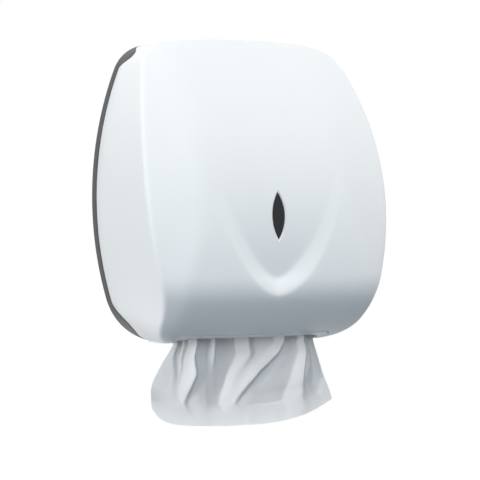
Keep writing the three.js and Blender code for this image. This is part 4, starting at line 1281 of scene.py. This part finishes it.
def shader_group(name, inputs):
    """A group that is to put out a colour, a roughness and a height, and its input and output nodes."""
    group = bpy.data.node_groups.new(name, "ShaderNodeTree")
    kinds = {"colour": "NodeSocketColor", "value": "NodeSocketFloat", "vector": "NodeSocketVector"}
    outputs = {"Colour": "colour", "Roughness": "value", "Height": "value"}
    for label, kind in inputs.items():
        group.interface.new_socket(label, in_out="INPUT", socket_type=kinds[kind])
    for label, kind in outputs.items():
        group.interface.new_socket(label, in_out="OUTPUT", socket_type=kinds[kind])
    return group, group.nodes.new("NodeGroupInput"), group.nodes.new("NodeGroupOutput")


def set_inputs(node, values):
    """Sets a node's inputs from their labels, which may have underscores for spaces."""
    for label, value in values.items():
        node.inputs[label.replace("_", " ")].default_value = value


def noise(tree, vector, scale, detail, roughness):
    node = tree.nodes.new("ShaderNodeTexNoise")
    set_inputs(node, {"Scale": scale, "Detail": detail, "Roughness": roughness})
    tree.links.new(vector, node.inputs["Vector"])
    return node.outputs["Fac"]


def stretched_noise(tree, vector, scale, kind):
    """A noise drawn out along one axis."""
    mapping = tree.nodes.new("ShaderNodeMapping")
    mapping.inputs["Scale"].default_value = scale
    tree.links.new(vector, mapping.inputs["Vector"])
    return noise(tree, mapping.outputs["Vector"], *kind)


def to_range(tree, value, low, high, start, end):
    node = tree.nodes.new("ShaderNodeMapRange")
    set_inputs(node, {"From Min": low, "From Max": high, "To Min": start, "To Max": end})
    tree.links.new(value, node.inputs["Value"])
    return node.outputs["Result"]


def feed(tree, sockets, values):
    """Sets each socket to a plain value or links it to another node's output."""
    for socket, value in zip(sockets, values):
        if isinstance(value, (int, float, tuple)):
            socket.default_value = value
        else:
            tree.links.new(value, socket)


def maths(tree, operation, a, b):
    node = tree.nodes.new("ShaderNodeMath")
    node.operation = operation
    feed(tree, node.inputs, (a, b))
    return node.outputs["Value"]


def added(tree, a, b):
    return maths(tree, "ADD", a, b)


def times(tree, a, b):
    return maths(tree, "MULTIPLY", a, b)


def scaled(tree, colour, factor):
    """A colour, lighter or darker by a factor."""
    node = tree.nodes.new("ShaderNodeVectorMath")
    node.operation = "SCALE"
    feed(tree, (node.inputs["Vector"], node.inputs["Scale"]), (colour, factor))
    return node.outputs["Vector"]


def mixed(tree, share, a, b):
    """A colour between two others. The node has such sockets for each kind of data, so they go by number."""
    node = tree.nodes.new("ShaderNodeMix")
    node.data_type = "RGBA"
    factor, first, second, result = MIX_SOCKETS
    feed(tree, (node.inputs[factor], node.inputs[first], node.inputs[second]), (share, a, b))
    return node.outputs[result]


def put_out(group, sink, colour, rough, height):
    """Links what a group puts out, and hands the group over."""
    group.links.new(colour, sink.inputs["Colour"])
    group.links.new(rough, sink.inputs["Roughness"])
    group.links.new(height, sink.inputs["Height"])
    return group


def moulded_group():
    """Moulded plastic: a faint mottle, an uneven gloss, the tool's fine grain and a little dust on top."""
    group, source, sink = shader_group(
        "moulded_plastic",
        {"Vector": "vector", "Colour": "colour", "Dust colour": "colour", "Gloss": "value", "Dust": "value"},
    )
    vector = source.outputs["Vector"]
    mottle = to_range(group, noise(group, vector, *MOULDED["mottle"]), *MOULDED["mottle_range"])
    clean = scaled(group, source.outputs["Colour"], mottle)
    geometry = group.nodes.new("ShaderNodeNewGeometry")
    parts = group.nodes.new("ShaderNodeSeparateXYZ")
    group.links.new(geometry.outputs["Normal"], parts.inputs["Vector"])
    upward = to_range(group, parts.outputs["Z"], *MOULDED["facing_up"])
    speckle = to_range(group, noise(group, vector, *MOULDED["speckle"]), *MOULDED["speckle_range"])
    dust = times(group, times(group, upward, speckle), source.outputs["Dust"])
    colour = mixed(group, dust, clean, source.outputs["Dust colour"])
    uneven = to_range(group, noise(group, vector, *MOULDED["uneven"]), *MOULDED["uneven_range"])
    gloss = added(group, source.outputs["Gloss"], uneven)
    rough = added(group, gloss, times(group, dust, MOULDED["dust_gloss"]))
    grain = noise(group, vector, *MOULDED["grain"])
    ripple = noise(group, vector, *MOULDED["ripple"])
    height = added(group, times(group, grain, MOULDED["grain_share"]), ripple)
    return put_out(group, sink, colour, rough, height)


def fibre_group():
    """Tissue: soft cloudy pulp, short fibres both ways and the fine pimples of the crepe."""
    inputs = {"Vector": "vector", "Colour": "colour", "Pulp": "value"}
    group, source, sink = shader_group("tissue_fibre", inputs)
    vector = source.outputs["Vector"]
    cloud = to_range(group, noise(group, vector, *TISSUE["cloud"]), *TISSUE["cloud_range"])
    strands = [stretched_noise(group, vector, scale, TISSUE["strand"]) for scale in TISSUE["strand_scales"]]
    fibres = times(group, *strands)
    crepe = noise(group, vector, *TISSUE["crepe"])
    pulp = added(group, times(group, cloud, TISSUE_SHARES["cloud_tone"]), fibres)
    tone = to_range(group, times(group, pulp, source.outputs["Pulp"]), *TISSUE["tone_range"])
    colour = scaled(group, source.outputs["Colour"], tone)
    rough = to_range(group, cloud, *TISSUE["rough_range"])
    fine = added(group, times(group, fibres, TISSUE_SHARES["fibre_height"]), crepe)
    height = added(group, fine, times(group, cloud, TISSUE_SHARES["cloud_height"]))
    return put_out(group, sink, colour, rough, height)


def metal_group():
    """Plated metal: fine drawn lines, an uneven gloss and a few dull spots."""
    group, source, sink = shader_group(
        "plated_metal",
        {"Vector": "vector", "Colour": "colour", "Dull colour": "colour", "Gloss": "value", "Wear": "value"},
    )
    vector = source.outputs["Vector"]
    lines = stretched_noise(group, vector, PLATED["line_scale"], PLATED["line"])
    spots = to_range(group, noise(group, vector, *PLATED["spot"]), *PLATED["spot_range"])
    dull = times(group, spots, source.outputs["Wear"])
    colour = mixed(group, dull, source.outputs["Colour"], source.outputs["Dull colour"])
    gloss = added(group, source.outputs["Gloss"], to_range(group, lines, *PLATED["line_range"]))
    rough = added(group, gloss, times(group, dull, PLATED["dull_gloss"]))
    return put_out(group, sink, colour, rough, lines)


GROUPS = {"moulded": moulded_group(), "fibre": fibre_group(), "metal": metal_group()}


# How strong a finish's bump is, and how deep in millimetres.
BUMPS = {
    "housing": (0.1, 0.01),
    "plastic": (0.25, 0.03),
    "lens": (0.05, 0.02),
    "metal": (0.2, 0.02),
    "paper": (0.5, 0.12),
}
DUST_COLOUR = (0.62, 0.61, 0.59, 1.0)
DULL_COLOUR = (0.24, 0.24, 0.25, 1.0)


def finish_of(name, group, inputs, bump, **sockets):
    """A material: one node group drives its colour, roughness and bump, and the rest is set on the shader."""
    strength, depth = BUMPS[bump]
    material = bpy.data.materials.new(name)
    material.use_nodes = True
    tree = material.node_tree
    shader = tree.nodes["Principled BSDF"]
    place = tree.nodes.new("ShaderNodeTexCoord")
    effect = tree.nodes.new("ShaderNodeGroup")
    effect.node_tree = GROUPS[group]
    tree.links.new(place.outputs["Object"], effect.inputs["Vector"])
    set_inputs(effect, inputs)
    relief = tree.nodes.new("ShaderNodeBump")
    set_inputs(relief, {"Strength": strength, "Distance": depth * MM})
    tree.links.new(effect.outputs["Height"], relief.inputs["Height"])
    tree.links.new(relief.outputs["Normal"], shader.inputs["Normal"])
    tree.links.new(effect.outputs["Colour"], shader.inputs["Base Color"])
    tree.links.new(effect.outputs["Roughness"], shader.inputs["Roughness"])
    set_inputs(shader, sockets)
    return material


def plastic(name, colour, gloss, dust, bump="plastic", **sockets):
    inputs = {"Colour": (*colour, 1.0), "Dust colour": DUST_COLOUR, "Gloss": gloss, "Dust": dust}
    return finish_of(name, "moulded", inputs, bump, **sockets)


def metal(name, colour, gloss, wear):
    inputs = {"Colour": (*colour, 1.0), "Dull colour": DULL_COLOUR, "Gloss": gloss, "Wear": wear}
    return finish_of(name, "metal", inputs, "metal", Metallic=1.0)


def tissue(name, colour, pulp, **sockets):
    return finish_of(name, "fibre", {"Colour": (*colour, 1.0), "Pulp": pulp}, "paper", **sockets)


WHITE = plastic("white_housing_finish", (0.85, 0.857, 0.862), gloss=0.36, dust=0.0, bump="housing")
GREY = plastic("grey_plate_finish", (0.075, 0.075, 0.077), gloss=0.45, dust=0.1, Specular_IOR_Level=0.35)
LENS = plastic(
    "smoked_lens_finish", (0.006, 0.0075, 0.009), gloss=0.13, dust=0.03, bump="lens", Specular_IOR_Level=0.38
)
TRAY = plastic("tray_plastic_finish", (0.68, 0.7, 0.72), gloss=0.45, dust=0.2)
STEEL = metal("steel_finish", (0.56, 0.57, 0.58), gloss=0.3, wear=0.3)
ZINC = metal("zinc_finish", (0.42, 0.43, 0.45), gloss=0.38, wear=0.5)
PAPER = tissue("paper_finish", (0.93, 0.895, 0.875), pulp=0.5, Sheen_Weight=0.15, Sheen_Roughness=0.5)
# Painted shade: the packs are the towel's own tissue, coloured a darker, cooler grey than the hanging sheet
SHADED_STACK = tissue("folded_paper_finish", (0.78, 0.785, 0.79), pulp=0.7)

# Pieces


def settle(piece, body, finish, slot, *nodes):
    """Gives a piece its finish and, if it has only one, its body, and hides the solids it stands for."""
    if finish is not None:
        piece.data.materials.clear()
        piece.data.materials.append(finish)
    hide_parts(*nodes)
    if body is not None:
        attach(piece, body)


settle(cover_shell(), "cover", WHITE, "white_housing", "front_cover")
settle(cover_fittings(), "cover", WHITE, "white_housing", "front_cover")
settle(sight_lens(), "cover", LENS, "smoked_lens", "sight_window")
settle(back_pan(), "base", GREY, "grey_plate", "back_plate")
settle(back_fittings(), "base", GREY, "grey_plate", "back_plate")
settle(dressed("paper_tray", BEVELS["tray"]), "base", TRAY, "tray_plastic", "paper_tray")
settle(dressed("outlet_insert", BEVELS["insert"]), "base", WHITE, "white_housing", "outlet_insert")
for pin in ("hinge_pin_right", "hinge_pin_left"):
    settle(dressed(pin, BEVELS["metal"]), "base", STEEL, "steel", pin)
settle(dressed("lock_sleeve", BEVELS["metal"]), "cover", GREY, "grey_plate", "lock_sleeve")
settle(dressed("lock_nut", BEVELS["nut"]), "cover", ZINC, "zinc", "lock_nut")
for part in ("lock_barrel", "lock_cam"):
    settle(dressed(part, BEVELS["metal"]), "lock", ZINC, "zinc", part)
settle(dressed("cam_screw", BEVELS["metal"]), "lock", STEEL, "steel", "cam_screw")
settle(tray_screws(STEEL), "base", None, "steel", *(f"tray_screw_{i}" for i in (1, 2, 3, 4)))
packs = ("towel_pack_lower", "towel_pack_middle", "towel_pack_upper")
settle(towel_stack(SHADED_STACK), "base", None, "paper", *packs)
towel = hanging_towel()
settle(towel, None, PAPER, "paper", "towel_sheet")
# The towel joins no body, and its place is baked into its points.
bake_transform(towel)

# Floor, light and camera


FLOOR = {
    "half_width": 2500.0,
    "level": -620.0,
    "lit": (0.13, 0.17, 0.21, 1.0),  # what it reflects onto the object
    "seen": (0.4, 0.4, 0.4, 1.0),
    "glow": 0.72,
}
BARE_WHITE = (1.0, 1.0, 1.0, 1.0)
SKY = {"nadir": (0.1, 0.12, 0.14, 1.0), "zenith": (0.26, 0.26, 0.26, 1.0)}
# Where each band of the sky lies, as a share of the way from nadir to zenith, and how light it is
BAND_SHARES = ((0.46, 0.1), (0.5, 0.22), (0.6, 0.27))
COOL_SHARES = (0.93, 1.0, 1.06)  # a band's red, green and blue
# Places and sizes of the spot, and the camera's place, in metres, and their angles in degrees
SPOT = {
    "azimuth": -70.0,
    "elevation": 1.0,
    "distance": 1.5,
    "target": (0.0, -0.05, -0.355),
    "reach": 0.2,
    "size": 0.12,
    "soft_share": 0.2,
    "power": 50.0,
}
CAMERA = {"place": (-0.8988, -1.887, 0.0), "turn": -26.0, "dip": 1.406, "lens": 150.0, "sensor": 36.0}


def seen_directly(tree):
    """1 for what the camera, a reflection or a view through the lens sees, and 0 for light on the object."""
    path = tree.nodes.new("ShaderNodeLightPath")
    seen = maths(tree, "MAXIMUM", path.outputs["Is Camera Ray"], path.outputs["Is Glossy Ray"])
    return maths(tree, "MAXIMUM", seen, path.outputs["Is Transmission Ray"])


def floor_finish():
    """A pale floor: white to the camera, with the object's shadow on it, and dimmer as a source of light."""
    material = bpy.data.materials.new("floor_finish")
    material.use_nodes = True
    tree = material.node_tree
    tree.nodes.clear()
    seen = seen_directly(tree)
    diffuse = tree.nodes.new("ShaderNodeBsdfDiffuse")
    tree.links.new(mixed(tree, seen, FLOOR["lit"], FLOOR["seen"]), diffuse.inputs["Color"])
    glow = tree.nodes.new("ShaderNodeEmission")
    glow.inputs["Color"].default_value = BARE_WHITE
    tree.links.new(times(tree, seen, FLOOR["glow"]), glow.inputs["Strength"])
    both = tree.nodes.new("ShaderNodeAddShader")
    tree.links.new(diffuse.outputs["BSDF"], both.inputs[0])
    tree.links.new(glow.outputs["Emission"], both.inputs[1])
    sink = tree.nodes.new("ShaderNodeOutputMaterial")
    tree.links.new(both.outputs["Shader"], sink.inputs["Surface"])
    return material


def studio_floor():
    half = FLOOR["half_width"]
    points = [at(x * half, depth * half, FLOOR["level"]) for x, depth in ((-1, -1), (1, -1), (1, 1), (-1, 1))]
    mesh = bpy.data.meshes.new("studio_floor")
    mesh.from_pydata([tuple(p) for p in points], [], [(0, 3, 2, 1)])
    mesh.materials.append(floor_finish())
    return linked("studio_floor", mesh)


def studio_world():
    """White to the camera and in reflections; as light, soft from above and dim from below."""
    world = bpy.data.worlds.new("studio")
    bpy.context.scene.world = world
    world.use_nodes = True
    tree = world.node_tree
    tree.nodes.clear()
    place = tree.nodes.new("ShaderNodeTexCoord")
    parts = tree.nodes.new("ShaderNodeSeparateXYZ")
    tree.links.new(place.outputs["Generated"], parts.inputs["Vector"])
    height = to_range(tree, parts.outputs["Z"], -1.0, 1.0, 0.0, 1.0)
    ramp = tree.nodes.new("ShaderNodeValToRGB")
    tree.links.new(height, ramp.inputs["Fac"])
    stops = ramp.color_ramp.elements
    stops[0].color = SKY["nadir"]
    stops[1].color = SKY["zenith"]
    for position, level in BAND_SHARES:
        stops.new(position).color = (*(level * share for share in COOL_SHARES), 1.0)
    light = tree.nodes.new("ShaderNodeBackground")
    tree.links.new(ramp.outputs["Color"], light.inputs["Color"])
    white = tree.nodes.new("ShaderNodeBackground")
    white.inputs["Color"].default_value = BARE_WHITE
    either = tree.nodes.new("ShaderNodeMixShader")
    tree.links.new(seen_directly(tree), either.inputs["Fac"])
    tree.links.new(light.outputs["Background"], either.inputs[1])
    tree.links.new(white.outputs["Background"], either.inputs[2])
    sink = tree.nodes.new("ShaderNodeOutputWorld")
    tree.links.new(either.outputs["Shader"], sink.inputs["Surface"])


def towards(azimuth, elevation):
    """The direction of an azimuth, 0 in front and 90 on the right, and an elevation."""
    turn, rise = math.radians(azimuth), math.radians(elevation)
    return Vector((math.sin(turn) * math.cos(rise), -math.cos(turn) * math.cos(rise), math.sin(rise)))


def soft_sun(name, azimuth, elevation, strength, spread, colour):
    """A broad sun, its spread in degrees, that doesn't show in reflections."""
    lamp = bpy.data.lights.new(name, "SUN")
    lamp.energy = strength
    lamp.angle = math.radians(spread)
    lamp.color = colour
    sun = linked(name, lamp)
    sun.rotation_euler = towards(azimuth, elevation).to_track_quat("Z", "Y").to_euler()
    sun.visible_glossy = False


def towel_spot():
    """A small spot that passes under the housing and reaches only the hanging towel."""
    lamp = bpy.data.lights.new("towel_spot", "SPOT")
    lamp.energy = SPOT["power"]
    lamp.shadow_soft_size = SPOT["size"]
    lamp.spot_size = 2 * math.atan(SPOT["reach"] / SPOT["distance"])
    lamp.spot_blend = SPOT["soft_share"]
    spot = linked("towel_spot", lamp)
    way = towards(SPOT["azimuth"], SPOT["elevation"])
    spot.location = Vector(SPOT["target"]) + way * SPOT["distance"]
    spot.rotation_euler = way.to_track_quat("Z", "Y").to_euler()


def set_camera():
    data = bpy.data.cameras.new("camera")
    data.lens = CAMERA["lens"]
    data.sensor_width = CAMERA["sensor"]
    camera = linked("camera", data)
    camera.location = CAMERA["place"]
    camera.rotation_euler = (math.radians(90.0 - CAMERA["dip"]), 0.0, math.radians(CAMERA["turn"]))
    bpy.context.scene.camera = camera


floor = studio_floor()
studio_world()
soft_sun("key", azimuth=10.0, elevation=58.0, strength=1.8, spread=12.0, colour=(1.0, 0.98, 0.96))
soft_sun("front_fill", azimuth=-24.0, elevation=22.0, strength=1.2, spread=35.0, colour=(0.83, 0.94, 1.0))
soft_sun("left_fill", azimuth=-104.0, elevation=1.0, strength=1.75, spread=30.0, colour=(1.0, 1.0, 0.99))
soft_sun("right_fill", azimuth=106.0, elevation=8.0, strength=0.45, spread=40.0, colour=(1.0, 1.0, 1.0))
towel_spot()
set_camera()
bpy.context.scene.view_settings.view_transform = "Standard"
